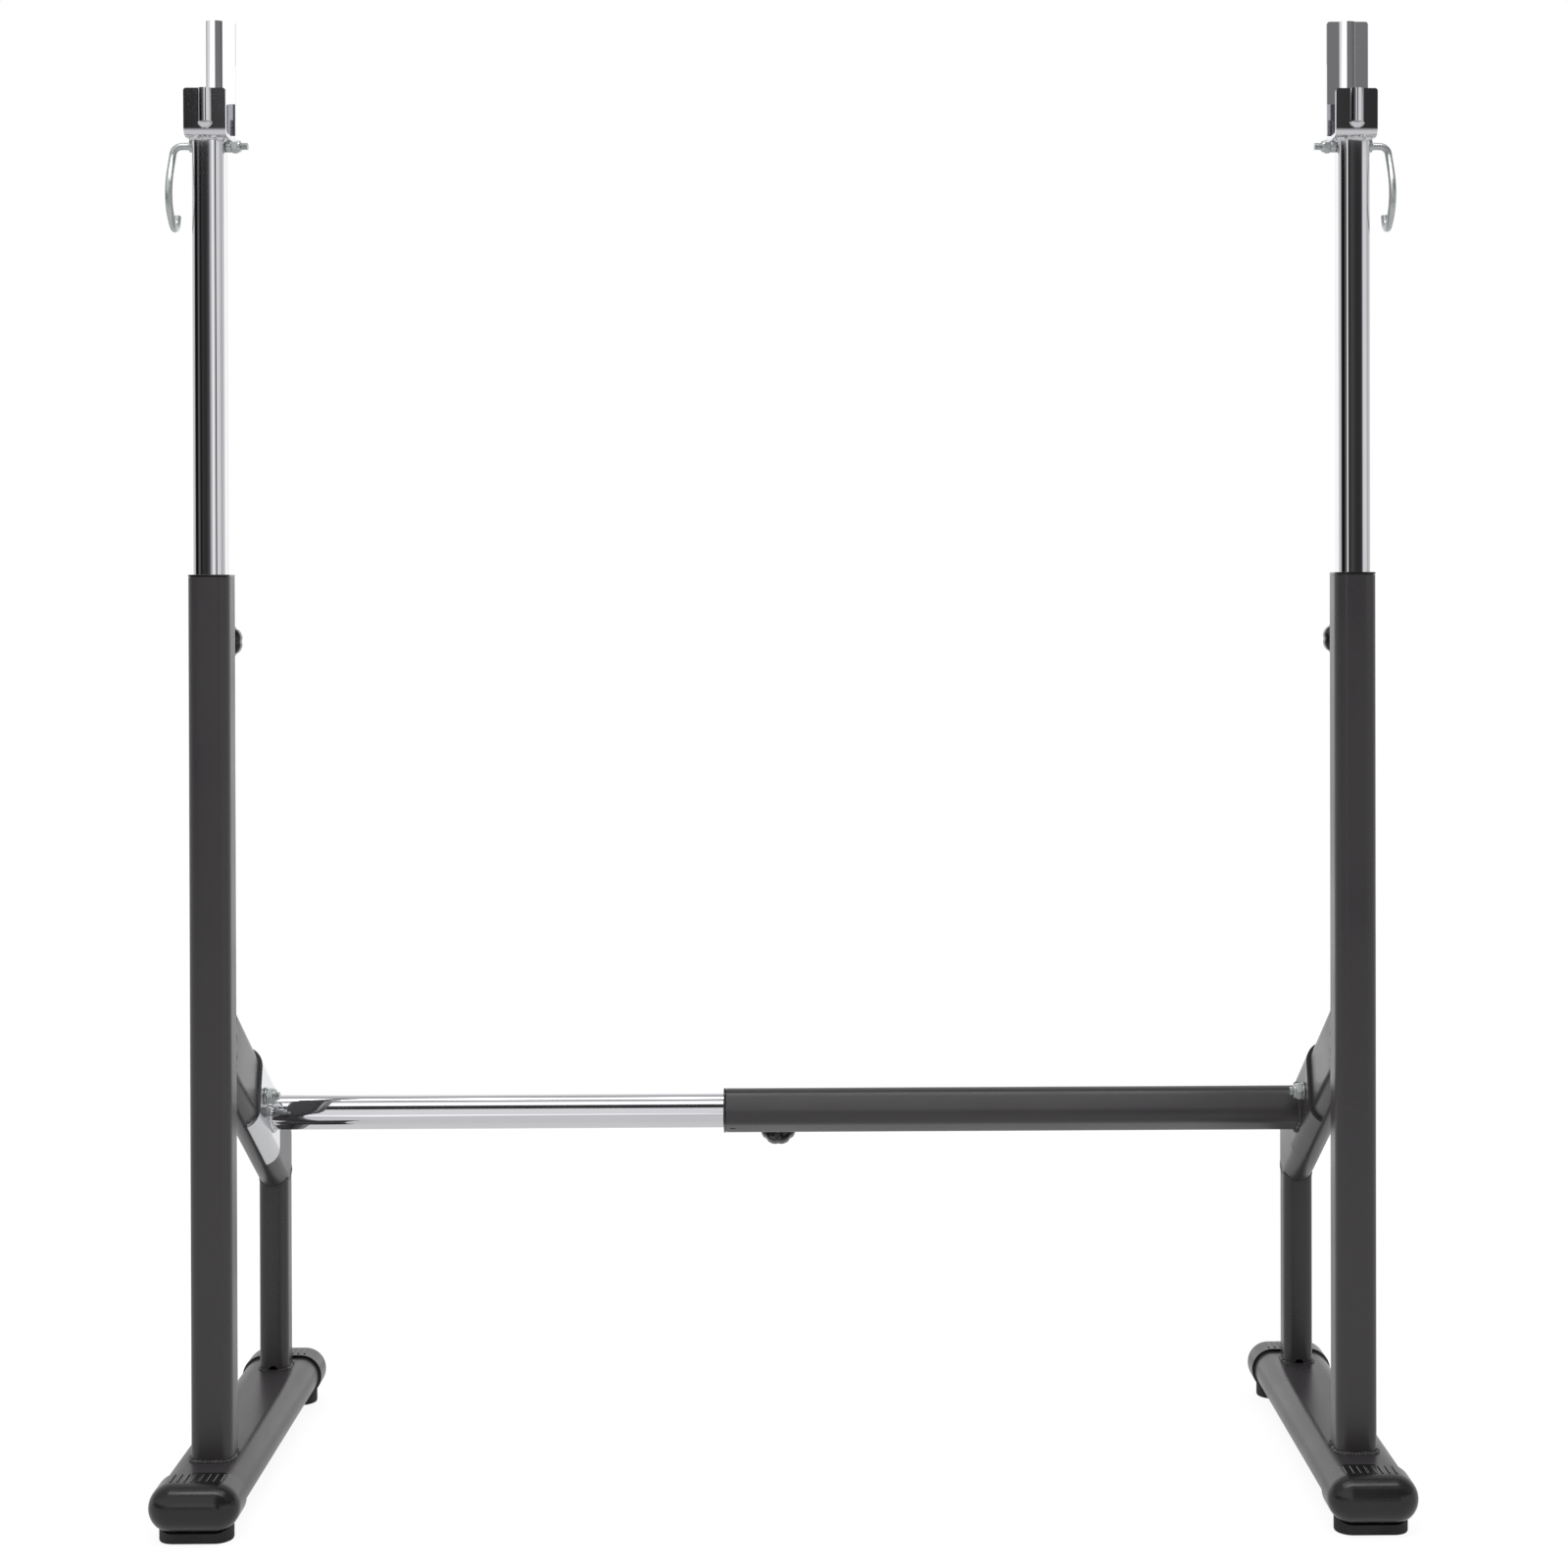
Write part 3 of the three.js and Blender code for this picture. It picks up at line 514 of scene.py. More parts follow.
chrome = finish("bright chrome", ((0.58, 0.58, 0.61), (0.63, 0.63, 0.65)), (0.015, 0.035),
                grain=26, clouds=14, bump=(0.006, 0.0006), Metallic=1.0)


def adjusting_holes(first, before, after):
    """Cutters for a row of adjusting holes through the rear wall of a tube along Z."""
    row = bmesh.new()
    for index in range(-before, after + 1):
        cutter = round_bar(PIN_HOLE, 0, MAST_SIZE)
        added(row, moved(cutter, at(0, 0, first + index * HOLE_PITCH), ALONG_Y))
    return row


for side in SIDES:
    mast = tube_mesh(MAST_SIZE, MAST_CORNER, MAST_WALL, mast_low.z, mast_high.z)
    mast = combined(mast, adjusting_holes(LOCK_HEIGHT, HOLES_BELOW, HOLES_ABOVE), "DIFFERENCE")
    pivot = moved(round_bar(HOOK_ROD + 2 * SEAM, -MAST_SIZE, MAST_SIZE), at(0, 0, HOOK_HEIGHT), ALONG_X)
    mast = combined(mast, pivot, "DIFFERENCE")
    moved(mast, stand_matrix(side))
    shown(mast, side + "_mast_post", side + "_mast", "chrome_plate", chrome, side + "_mast_tube")

# Bushes: moulded black plastic in the mouth of each outer tube, with a thin flange on its end.
# They keep the plated tube from rattling.
BUSH_FLANGE = 0.0025
BUSH_DEPTH = 0.042

black_plastic = finish("black plastic", ((0.006, 0.006, 0.006), (0.010, 0.010, 0.010)), (0.12, 0.22),
                       grain=900, clouds=25, bump=(0.05, 0.0003),
                       Specular_IOR_Level=0.35, Coat_Weight=0.15, Coat_Roughness=0.1)


def bush_mesh():
    """A bush whose flange stands on the tube's end at the origin."""
    bore = MAST_SIZE + 2 * SEAM
    sleeve = TUBE_SIZE - 2 * TUBE_WALL - 2 * SEAM
    flange = eased(drawn(rounded_face(TUBE_SIZE, TUBE_SIZE, TUBE_CORNER), SEAM, SEAM + BUSH_FLANGE), RIM)
    body = drawn(rounded_face(sleeve, sleeve, TUBE_CORNER - TUBE_WALL - SEAM), -BUSH_DEPTH, BUSH_FLANGE / 2)
    hole = drawn(rounded_face(bore, bore, MAST_CORNER + SEAM), -BUSH_DEPTH - OVERRUN, BUSH_FLANGE + OVERRUN)
    return combined(combined(flange, body, "UNION"), hole, "DIFFERENCE")


for side in SIDES:
    bush = moved(bush_mesh(), stand_matrix(side), at(0, 0, upright_high.z))
    shown(bush, side + "_mouth_bush", side + "_stand", "black_plastic", black_plastic,
          side + "_upright_bush")

# Crossbar: a painted outer tube fixed to the right bracket, and a plated inner tube fixed to the left one.
# It lies in the braces' slope. The inner tube has a row of adjusting holes on its lower rear face.
outer_low, outer_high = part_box("crossbar_outer_tube")
inner_low, inner_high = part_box("crossbar_inner_tube")
CROSSBAR_LOCK = -0.010
WINDOW = (0.006, 0.0024, TUBE_SIZE / 2)
WINDOW_SETBACK = 0.005
HOLES_INWARD = 1
HOLES_OUTWARD = 5
CROSSBAR = at(0, UPRIGHT_Y, 0) @ SLOPE

outer = tube_mesh(TUBE_SIZE, TUBE_CORNER, TUBE_WALL, outer_low.x, outer_high.x)
moved(outer, ALONG_X)
hole = moved(round_bar(PIN_HOLE, 0, TUBE_SIZE), at(CROSSBAR_LOCK, 0, 0), ALONG_Y)
outer = combined(outer, hole, "DIFFERENCE")
window_x = outer_low.x + WINDOW_SETBACK + WINDOW[0] / 2
outer = combined(outer, block(WINDOW, (window_x, 0, -TUBE_SIZE / 2)), "DIFFERENCE")
shown(moved(outer, CROSSBAR), "crossbar_painted_tube", "right_stand", "painted_steel", paint,
      "crossbar_outer_tube")

inner = tube_mesh(MAST_SIZE, MAST_CORNER, MAST_WALL, inner_low.x, inner_high.x)
inner = combined(inner, adjusting_holes(CROSSBAR_LOCK, HOLES_OUTWARD, HOLES_INWARD), "DIFFERENCE")
shown(moved(inner, CROSSBAR, ALONG_X), "crossbar_plated_tube", "left_stand", "chrome_plate", chrome,
      "crossbar_inner_tube")

mouth = moved(bush_mesh(), CROSSBAR, at(outer_low.x, 0, 0), AGAINST_X)
shown(mouth, "crossbar_mouth_bush", "right_stand", "black_plastic", black_plastic, "crossbar_bush")

# Saddle brackets: steel plate formed over the inner half of each brace, where the crossbar is welded on.
# The left one is bright plated with its tube, and the right one is painted.
BRACKET_PLATE = 0.0037
BRACKET_FRONT = 0.136
BRACKET_REAR = 0.233
BRACKET_ROUND = 0.028
BRACKET_LEAN = math.radians(16)
BRACKET_EDGE = -0.008
bracket_low = CROSSBAR_HEIGHT - (BRACKET_REAR - CROSSBAR_SETBACK) * math.tan(BRACE_ANGLE)
bracket_low -= BRACE_HEIGHT / 2 / math.cos(BRACE_ANGLE)

bright = finish("bright zinc bracket", ((0.50, 0.51, 0.53), (0.62, 0.63, 0.64)), (0.14, 0.26),
                grain=120, clouds=35, bump=(0.04, 0.0006), Metallic=1.0)

for side in SIDES:
    shell = hollowed(oval_face(BRACE_WIDTH, BRACE_HEIGHT, SEAM + BRACKET_PLATE), BRACKET_PLATE)
    drawn(shell, -LONG, LONG)
    moved(shell, SLOPE, ALONG_Y)
    form = side_form(BRACKET_FRONT, BRACKET_REAR, bracket_low, BRACKET_ROUND, BRACKET_LEAN)
    shell = combined(shell, form, "INTERSECT")
    whole = shell.verts[:] + shell.edges[:] + shell.faces[:]
    cut = bmesh.ops.bisect_plane(shell, geom=whole, plane_co=(BRACKET_EDGE, 0, 0), plane_no=(1, 0, 0),
                                 clear_outer=True)
    rims = [part for part in cut["geom_cut"] if isinstance(part, bmesh.types.BMEdge)]
    bmesh.ops.holes_fill(shell, edges=rims)
    eased(shell, RIM, 1)
    moved(shell, stand_matrix(side))
    look, slot = (bright, "chrome_plate") if side == "left" else (paint, "painted_steel")
    shown(shell, side + "_saddle_bracket", side + "_stand", slot, look, side + "_bracket")

# Locks: a painted barrel on each outer tube, with a sprung pin inside and a lobed black knob on the pin.
# Pulling the knob frees the plated tube.
BARREL = 0.020
BARREL_LENGTH = 0.024
BARREL_BORE = BARREL * 0.73
BARREL_POCKET = BARREL_LENGTH * 0.895
FINE_FACETS = 48
KNOB = 0.043
KNOB_START = 0.012
KNOB_LOBES = 8
KNOB_FLUTE_DEPTH = 0.0012
KNOB_FLUTE_SHARPNESS = 3
KNOB_FACETS = 96
PIN_SHAFT = 0.008
# Each ring's share of the knob's radius, its height, and its share of the flutes' depth.
KNOB_RINGS = ((0.60, 0.0, 0.0), (0.62, 0.001, 0.0), (0.66, 0.005, 0.0), (0.80, 0.0065, 0.3),
              (0.93, 0.0075, 0.8), (0.985, 0.0095, 1.0), (1.0, 0.012, 1.0), (1.0, 0.018, 1.0),
              (0.985, 0.0205, 1.0), (0.94, 0.0228, 0.8), (0.86, 0.0239, 0.4), (0.76, 0.024, 0.1),
              (0.66, 0.0232, 0.0), (0.42, 0.0226, 0.0), (0.38, 0.0232, 0.0), (0.34, 0.0236, 0.0),
              (0.20, 0.0238, 0.0))


def knob_mesh():
    """A knob drawn from rings: a neck, a lobed grip with rounded rims, and a dished face with a cap."""
    half = KNOB / 2
    bm = bmesh.new()
    bmesh.ops.create_circle(bm, cap_ends=True, segments=KNOB_FACETS, radius=1)
    top = bm.faces[:]

    def shape(verts, share, height, fluted):
        """Puts verts on one ring."""
        for vert in verts:
            angle = math.atan2(vert.co.y, vert.co.x)
            flute = ((1 + math.cos(KNOB_LOBES * angle)) / 2) ** KNOB_FLUTE_SHARPNESS
            radius = half * share - fluted * KNOB_FLUTE_DEPTH * flute
            vert.co = (radius * math.cos(angle), radius * math.sin(angle), KNOB_START + height)

    shape(bm.verts, *KNOB_RINGS[0])
    for ring in KNOB_RINGS[1:]:
        top, verts = extruded(bm, top)
        shape(verts, *ring)
    pocket = round_bar(BARREL + 2 * SEAM, KNOB_START - OVERRUN, BARREL_LENGTH + SEAM, KNOB_FACETS // 2)
    return combined(bm, pocket, "DIFFERENCE")


def barrel_mesh():
    """The barrel on the tube's face at the origin: a ring with a closed outer end."""
    bm = eased(round_bar(BARREL, SEAM, BARREL_LENGTH, FINE_FACETS), RIM)
    bm = combined(bm, round_bar(BARREL_BORE, 0, BARREL_POCKET), "DIFFERENCE")
    return combined(bm, round_bar(PIN_SHAFT + 2 * SEAM, 0, LONG / 2), "DIFFERENCE")


on_crossbar = CROSSBAR @ at(CROSSBAR_LOCK, TUBE_SIZE / 2, 0) @ ALONG_Y
locks = {"width": ("spacing", "right_stand", on_crossbar)}
for side in SIDES:
    place = stand_matrix(side) @ at(0, TUBE_SIZE / 2, LOCK_HEIGHT) @ ALONG_Y
    locks[side] = (side + "_height", side + "_stand", place)
for lock, (name, stand, place) in locks.items():
    shown(moved(barrel_mesh(), place), name + "_barrel", stand, "painted_steel", paint,
          lock + "_lock_barrel")
    shown(moved(knob_mesh(), place), name + "_knob", lock + "_pull_pin", "black_plastic", black_plastic,
          lock + "_lock_knob")

# Cradles: one strip of plate bent into a low front and a tall back, chrome plated, welded on the mast.
# Each upright plate has a pressed rib down its middle that stands out to the front, and the low one leans
# forward a little.
CRADLE_WIDTH = 0.045
CRADLE_DEPTH = 0.049
CRADLE_PLATE = 0.004
CRADLE_BEND = 0.009
CRADLE_FRONT = 0.051
CRADLE_BACK = 0.133
CRADLE_CORNER = 0.003
CRADLE_LEAN = math.radians(0.9)
BEAD_HALF = 0.007
BEAD_DEPTH = 0.0036
BEAD_FULLNESS = 0.75
BEAD_RISE = 0.0095
CRADLE_GRID = 0.0012
cradle_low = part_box("right_cradle")[0]


def cradle_mesh():
    """The bent plate, its underside at the origin: a flat blank, rounded, bent up, ribbed and thickened."""
    arc = CRADLE_BEND * math.pi / 2
    floor = CRADLE_DEPTH - 2 * CRADLE_BEND
    front, back = CRADLE_FRONT - CRADLE_BEND, CRADLE_BACK - CRADLE_BEND
    length = front + arc + floor + arc + back
    half = CRADLE_WIDTH / 2
    bm = bmesh.new()
    bmesh.ops.create_grid(bm, x_segments=round(CRADLE_WIDTH / CRADLE_GRID),
                          y_segments=round(length / CRADLE_GRID), size=0.5)
    for vert in bm.verts:
        across = vert.co.x * CRADLE_WIDTH
        along = (vert.co.y + 0.5) * length
        near = min(along, length - along)
        over_x, over_y = abs(across) - (half - CRADLE_CORNER), CRADLE_CORNER - near
        if over_x > 0 and over_y > 0:
            share = max(over_x, over_y) / math.hypot(over_x, over_y)
            across = math.copysign(half - CRADLE_CORNER + over_x * share, across)
            near = CRADLE_CORNER - over_y * share
            along = near if along < length / 2 else length - near
        if along < front:
            z = CRADLE_FRONT - along
            y = -CRADLE_DEPTH / 2 - (z - CRADLE_BEND) * math.tan(CRADLE_LEAN)
        elif along < front + arc:
            angle = (along - front) / CRADLE_BEND
            y = -CRADLE_DEPTH / 2 + CRADLE_BEND * (1 - math.cos(angle))
            z = CRADLE_BEND * (1 - math.sin(angle))
        elif along < front + arc + floor:
            y, z = along - front - arc - floor / 2, 0
        elif along < front + 2 * arc + floor:
            angle = (along - front - arc - floor) / CRADLE_BEND
            y = CRADLE_DEPTH / 2 - CRADLE_BEND * (1 - math.sin(angle))
            z = CRADLE_BEND * (1 - math.cos(angle))
        else:
            y, z = CRADLE_DEPTH / 2, along - (length - CRADLE_BACK)
        below = max(0, BEAD_RISE + BEAD_HALF - z)
        reach = min(1, math.hypot(across, below) / BEAD_HALF)
        if z > CRADLE_BEND:
            y -= BEAD_DEPTH * (1 - reach ** 2) ** BEAD_FULLNESS
        vert.co = (across, y, z)
    bmesh.ops.recalc_face_normals(bm, faces=bm.faces)
    centre = min(bm.faces, key=lambda face: face.calc_center_median().z)
    inward = 1 if centre.normal.z > 0 else -1
    bmesh.ops.solidify(bm, geom=bm.faces[:], thickness=-inward * CRADLE_PLATE)
    return bm


for side in SIDES:
    cradle = moved(cradle_mesh(), stand_matrix(side), at(0, 0, cradle_low.z))
    shown(cradle, side + "_bar_cradle", side + "_mast", "chrome_plate", chrome, side + "_cradle")

# Bar hooks: bent steel rod, zinc plated, that passes through the mast and swings up over the bar.
# A collar, a spacer and a lock nut hold it, and it hangs down when it isn't used.
HOOK_ARM = 0.040
HOOK_BEND = 0.010
HOOK_TAIL = 0.041
HOOK_DEPTH = 0.0876
HOOK_BOW = 0.018
HOOK_BEND_STEPS = 8
HOOK_STEPS = 6
# Points down the arm, as shares of its bow and of its depth.
HOOK_SHARES = ((-0.45, 0.27), (-0.88, 0.45), (-1, 0.62), (-0.83, 0.78), (-0.33, 0.92), (0.3, 1),
               (0.85, 0.955), (1.1, 0.83))
ROD_SIDES = 16
THREAD_PITCH = 0.00125
THREAD_ROOT = 0.88
RING_FACETS = 40
# Shares of a hexagon's thickness turned off its corners, and of a nut collar's height rounded over.
HEX_TURNED = 0.16
NECK_ROUND = 0.35
COLLAR = 0.013
COLLAR_THICKNESS = 0.004
SPACER_THICKNESS = 0.0062
NUT_FLATS = 0.013
NUT_HEX = 0.006
NUT_COLLAR = 0.003

zinc = finish("zinc plate", ((0.40, 0.42, 0.42), (0.56, 0.58, 0.58)), (0.3, 0.44),
              grain=500, clouds=120, bump=(0.05, 0.0003), Metallic=1.0)


def swept(points, radii, closed=False, sides=12):
    """A round rod along points, with its own radius at each of them."""
    curve = bpy.data.curves.new("rod", "CURVE")
    curve.dimensions = "3D"
    curve.bevel_depth = 1
    curve.bevel_resolution = sides // 4
    curve.use_fill_caps = not closed
    spline = curve.splines.new("POLY")
    spline.points.add(len(points) - 1)
    for target, point, radius in zip(spline.points, points, radii):
        target.co = (*point, 1)
        target.radius = radius
    spline.use_cyclic_u = closed
    holder = bpy.data.objects.new("rod", curve)
    mesh = bpy.data.meshes.new_from_object(holder)
    bm = bmesh.new()
    bm.from_mesh(mesh)
    bpy.data.meshes.remove(mesh)
    bpy.data.objects.remove(holder)
    bpy.data.curves.remove(curve)
    bmesh.ops.remove_doubles(bm, verts=bm.verts, dist=MERGE)
    return bm


def smooth_line(points, steps):
    """Points on an even curve through the given ones."""
    padded = [2 * points[0] - points[1], *points, 2 * points[-1] - points[-2]]
    line = []
    for a, b, c, d in zip(padded, padded[1:], padded[2:], padded[3:]):
        for step in range(steps):
            t = step / steps
            line.append(0.5 * (2 * b + (c - a) * t + (2 * a - 5 * b + 4 * c - d) * t ** 2
                               + (3 * b - a - 3 * c + d) * t ** 3))
    return [*line, points[-1]]


def threaded(start, end, radius):
    """Points and radii along X of a thread that is a row of fine ridges."""
    count = max(2, round((end - start) / THREAD_PITCH * 2))
    points = [Vector((start + (end - start) * i / count, 0, 0)) for i in range(count)]
    radii = [radius if i % 2 else radius * THREAD_ROOT for i in range(count)]
    return points, radii


def hook_mesh():
    """The hook's rod, its pivot at the origin and its arm on the outer side."""
    points, radii = threaded(-HOOK_TAIL, -MAST_SIZE / 2 - SPACER_THICKNESS, HOOK_ROD / 2)
    bend = [Vector((HOOK_ARM - HOOK_BEND + HOOK_BEND * math.sin(a), 0, HOOK_BEND * (math.cos(a) - 1)))
            for a in (math.pi / 2 * i / HOOK_BEND_STEPS for i in range(HOOK_BEND_STEPS))]
    arm = [Vector((HOOK_ARM, bow * HOOK_BOW, -depth * HOOK_DEPTH)) for bow, depth in HOOK_SHARES]
    line = bend + smooth_line([Vector((HOOK_ARM, 0, -HOOK_BEND)), *arm], HOOK_STEPS)
    rest = [Vector((-MAST_SIZE / 2, 0, 0)), Vector((MAST_SIZE / 2, 0, 0)), *line]
    return swept(points + rest, radii + [HOOK_ROD / 2] * len(rest), sides=ROD_SIDES)


def ring_mesh(outer, bore, start, end):
    """A plain ring along Z with eased rims."""
    ring = eased(round_bar(outer, start, end, RING_FACETS), RIM)
    return combined(ring, round_bar(bore, start - OVERRUN, end + OVERRUN), "DIFFERENCE")


def hexagon_mesh(flats, start, end):
    """A hexagon along Z whose corners are turned off at both ends."""
    across = 2 * flats / math.sqrt(3)
    block = moved(round_bar(across, start, end, 6), Matrix.Rotation(math.pi / 6, 4, "Z"))
    turned = eased(round_bar(across + MERGE, start, end, FINE_FACETS), (end - start) * HEX_TURNED, 1)
    return combined(block, turned, "INTERSECT")


def nut_mesh(flats, hexagon, collar, bore, seat):
    """A lock nut with a round collar, along Z from its seat."""
    end = seat + hexagon + collar
    neck = eased(round_bar(flats - 2 * SEAM, seat + SEAM, end, FINE_FACETS), collar * NECK_ROUND, 3)
    body = combined(hexagon_mesh(flats, seat, seat + hexagon), neck, "UNION")
    return combined(body, round_bar(bore, seat - OVERRUN, end + OVERRUN), "DIFFERENCE")


for side in SIDES:
    place = stand_matrix(side) @ at(0, 0, HOOK_HEIGHT)
    face = MAST_SIZE / 2 + SEAM
    bore = HOOK_ROD + 2 * SEAM
    body = side + "_bar_hook"
    parts = {
        "rod": (hook_mesh(), Matrix.Identity(4), "hook"),
        "collar": (ring_mesh(COLLAR, bore, face, face + COLLAR_THICKNESS), ALONG_X, "hook_collar"),
        "spacer": (ring_mesh(COLLAR, bore, face, face + SPACER_THICKNESS), AGAINST_X, "hook_spacer"),
        "locknut": (nut_mesh(NUT_FLATS, NUT_HEX, NUT_COLLAR, bore, face + SPACER_THICKNESS + SEAM),
                    AGAINST_X, "hook_nut"),
    }
    for name, (mesh, turn, node) in parts.items():
        shown(moved(mesh, place, turn), side + "_swing_" + name, body, "zinc_plate", zinc,
              side + "_" + node)

# Bracket bolts: one M10 bolt through each brace, with its head on the outer side.
# A washer and a lock nut sit on the bracket's inner side.
BOLT = 0.010
BOLT_OFFSET = 0.050
BOLT_FLATS = 0.017
BOLT_HEAD = 0.0064
BOLT_TAIL = 0.004
WASHER = 0.020
WASHER_THICKNESS = 0.002
BOLT_NUT_HEX = 0.007
BOLT_NUT_COLLAR = 0.003
for side in SIDES:
    place = stand_matrix(side) @ SLOPE @ at(0, -BOLT_OFFSET, 0)
    head_seat = BRACE_WIDTH / 2 + SEAM
    washer_seat = head_seat + BRACKET_PLATE + SEAM
    nut_seat = washer_seat + WASHER_THICKNESS + SEAM
    tail = nut_seat + BOLT_NUT_HEX + BOLT_NUT_COLLAR + BOLT_TAIL
    head = moved(hexagon_mesh(BOLT_FLATS, head_seat, head_seat + BOLT_HEAD), ALONG_X)
    points, radii = threaded(-tail, -washer_seat, BOLT / 2)
    shank = swept([*points, Vector((head_seat + RIM, 0, 0))], [*radii, BOLT / 2], sides=ROD_SIDES)
    bore = BOLT + 2 * SEAM
    washer = ring_mesh(WASHER, bore, washer_seat, washer_seat + WASHER_THICKNESS)
    nut = nut_mesh(BOLT_FLATS, BOLT_NUT_HEX, BOLT_NUT_COLLAR, bore, nut_seat)
    body = side + "_stand"
    shown(moved(added(head, shank), place), side + "_m10_bolt", body, "zinc_plate", zinc,
          side + "_bracket_bolt")
    shown(moved(washer, place, AGAINST_X), side + "_flat_washer", body, "zinc_plate", zinc,
          side + "_bracket_washer")
    shown(moved(nut, place, AGAINST_X), side + "_m10_locknut", body, "zinc_plate", zinc,
          side + "_bracket_nut")

# Welds: a rippled bead all round each joint of the steel, painted over or plated with what it joins.
# The leg's bead follows the rounded underside of the brace.
WELD = 0.0024
UPRIGHT_WELD = WELD * 1.15
FINE_WELD = WELD * 0.6
CROSSBAR_WELD = WELD * 1.2
CRADLE_WELD = WELD * 1.3
WELD_SPACING = 0.0011
# The bead's unevenness, as shares of its thickness, and how it thins out at the leg's vent.
RIPPLE_LENGTH = 0.0034
RIPPLE = 0.12
DRIFT = 0.18
DRIFT_PACE = 0.17
JITTER = 0.08
THINNEST = 0.15
GAP_SHARE = 0.3
LEG_SEAM = 0.0009
weld_chance = random.Random(7)


def evenly(points, spacing):
    """The same closed line with its points a spacing apart."""
    closed = [*points, points[0]]
    line = []
    for start, end in zip(closed, closed[1:]):
        count = max(1, round((end - start).length / spacing))
        line += [start.lerp(end, index / count) for index in range(count)]
    return line


def face_line(face_mesh, *matrices):
    """The outline of a flat face, put in place."""
    moved(face_mesh, *matrices)
    line = [loop.vert.co.copy() for loop in face_mesh.faces[:][0].loops]
    face_mesh.free()
    return line


def square_line(size, corner, *matrices):
    """The outline of a square tube or of a round bar, put in place."""
    return face_line(rounded_face(size, size, corner), *matrices)


def bead(line, size=WELD, gap=None):
    """A weld bead along a closed line, rippled as the welder moved on, and thin near a gap."""
    line = evenly(line, WELD_SPACING)
    turns = 2 * math.pi * WELD_SPACING / RIPPLE_LENGTH
    drift = weld_chance.random() * math.pi
    radii = []
    for index in range(len(line)):
        ripple = RIPPLE * math.sin(turns * index) + DRIFT * math.sin(index * turns * DRIFT_PACE + drift)
        share = min(1, max(THINNEST, (line[index] - gap).length / VENT - GAP_SHARE)) if gap else 1
        radii.append(size * share * (1 + ripple + weld_chance.uniform(-JITTER, JITTER)))
    return swept(line, radii, closed=True)


def slope_line(width, height, y):
    """Where the brace's outline meets an upright plane across the stand."""
    line = []
    for point in face_line(oval_face(width, height)):
        along = (y - CROSSBAR_SETBACK - point.y * math.sin(BRACE_ANGLE)) / math.cos(BRACE_ANGLE)
        line.append(SLOPE @ Vector((point.x, along, point.y)))
    return line


brace_solid = brace_form(0, 0)
brace_shape = BVHTree.FromBMesh(brace_solid)
brace_solid.free()


def leg_line():
    """Where the leg's outline meets the brace's underside."""
    line = []
    for point in evenly(square_line(LEG_SIZE - 2 * LEG_SEAM, LEG_CORNER - LEG_SEAM), WELD_SPACING):
        start = Vector((point.x, LEG_Y + point.y, leg_low.z))
        hit = brace_shape.ray_cast(start, Vector((0, 0, 1)))[0]
        top = min(hit.z if hit else leg_high.z, leg_high.z)
        line.append(Vector((point.x, LEG_Y + point.y, top)))
    return line


VENT_PLACE = Vector((0, LEG_Y - LEG_SIZE / 2, leg_low.z))
BAR_PLACE = SLOPE @ at(-(BRACE_WIDTH / 2 + 2 * SEAM + BRACKET_PLATE), 0, 0) @ ALONG_X
LOCK_PLACE = at(0, TUBE_SIZE / 2 + SEAM, LOCK_HEIGHT) @ ALONG_Y
for side in SIDES:
    if side == "left":
        bar_line, bar_look = square_line(MAST_SIZE, MAST_CORNER, BAR_PLACE), bright
    else:
        bar_line, bar_look = square_line(TUBE_SIZE, TUBE_CORNER, BAR_PLACE), paint
    joints = {
        "upright_weld": (square_line(TUBE_SIZE, TUBE_CORNER, at(0, 0, upright_low.z)), UPRIGHT_WELD, paint),
        "leg_foot_weld": (square_line(LEG_SIZE, LEG_CORNER, at(0, LEG_Y, leg_low.z)), WELD, paint),
        "leg_brace_weld": (leg_line(), FINE_WELD, paint),
        "brace_weld": (slope_line(BRACE_WIDTH, BRACE_HEIGHT, BRACE_FRONT), WELD, paint),
        "barrel_weld": (square_line(BARREL, BARREL / 2, LOCK_PLACE), FINE_WELD, paint),
        "crossbar_weld": (bar_line, CROSSBAR_WELD, bar_look),
        "cradle_weld": (square_line(MAST_SIZE, MAST_CORNER, at(0, 0, mast_high.z - SEAM)),
                        CRADLE_WELD, chrome),
    }
    for name, (line, thickness, look) in joints.items():
        body = side + ("_mast" if name == "cradle_weld" else "_stand")
        slot = "painted_steel" if look is paint else "chrome_plate"
        gap = VENT_PLACE if name == "leg_foot_weld" else None
        shown(moved(bead(line, thickness, gap), stand_matrix(side)), side + "_" + name, body, slot, look)
line = square_line(BARREL, BARREL / 2, at(CROSSBAR_LOCK, TUBE_SIZE / 2 + SEAM, 0) @ ALONG_Y)
shown(moved(bead(line, FINE_WELD), CROSSBAR), "crossbar_barrel_weld", "right_stand", "painted_steel", paint)

# Inside the tubes: the plastic plugs on the inner ends of the masts and the plated crossbar, and the
# locks' pins, which keep their plain solids. Each lock's spring shortens as its knob is pulled.
SPRING_RADIUS = 0.0055
SPRING_WIRE = 0.0011
SPRING_START = 0.00415
SPRING_END = 0.02065
SPRING_TURNS = 6
SPRING_STEPS = 16


def spring_mesh():
    """A lock's spring, from its pin's shoulder to the closed end of its barrel."""
    count = SPRING_TURNS * SPRING_STEPS
    line = []
    for i in range(count + 1):
        angle = math.tau * i / SPRING_STEPS
        line.append(Vector((SPRING_RADIUS * math.cos(angle), SPRING_RADIUS * math.sin(angle),
                            SPRING_START + (SPRING_END - SPRING_START) * i / count)))
    return swept(line, [SPRING_WIRE / 2] * len(line))


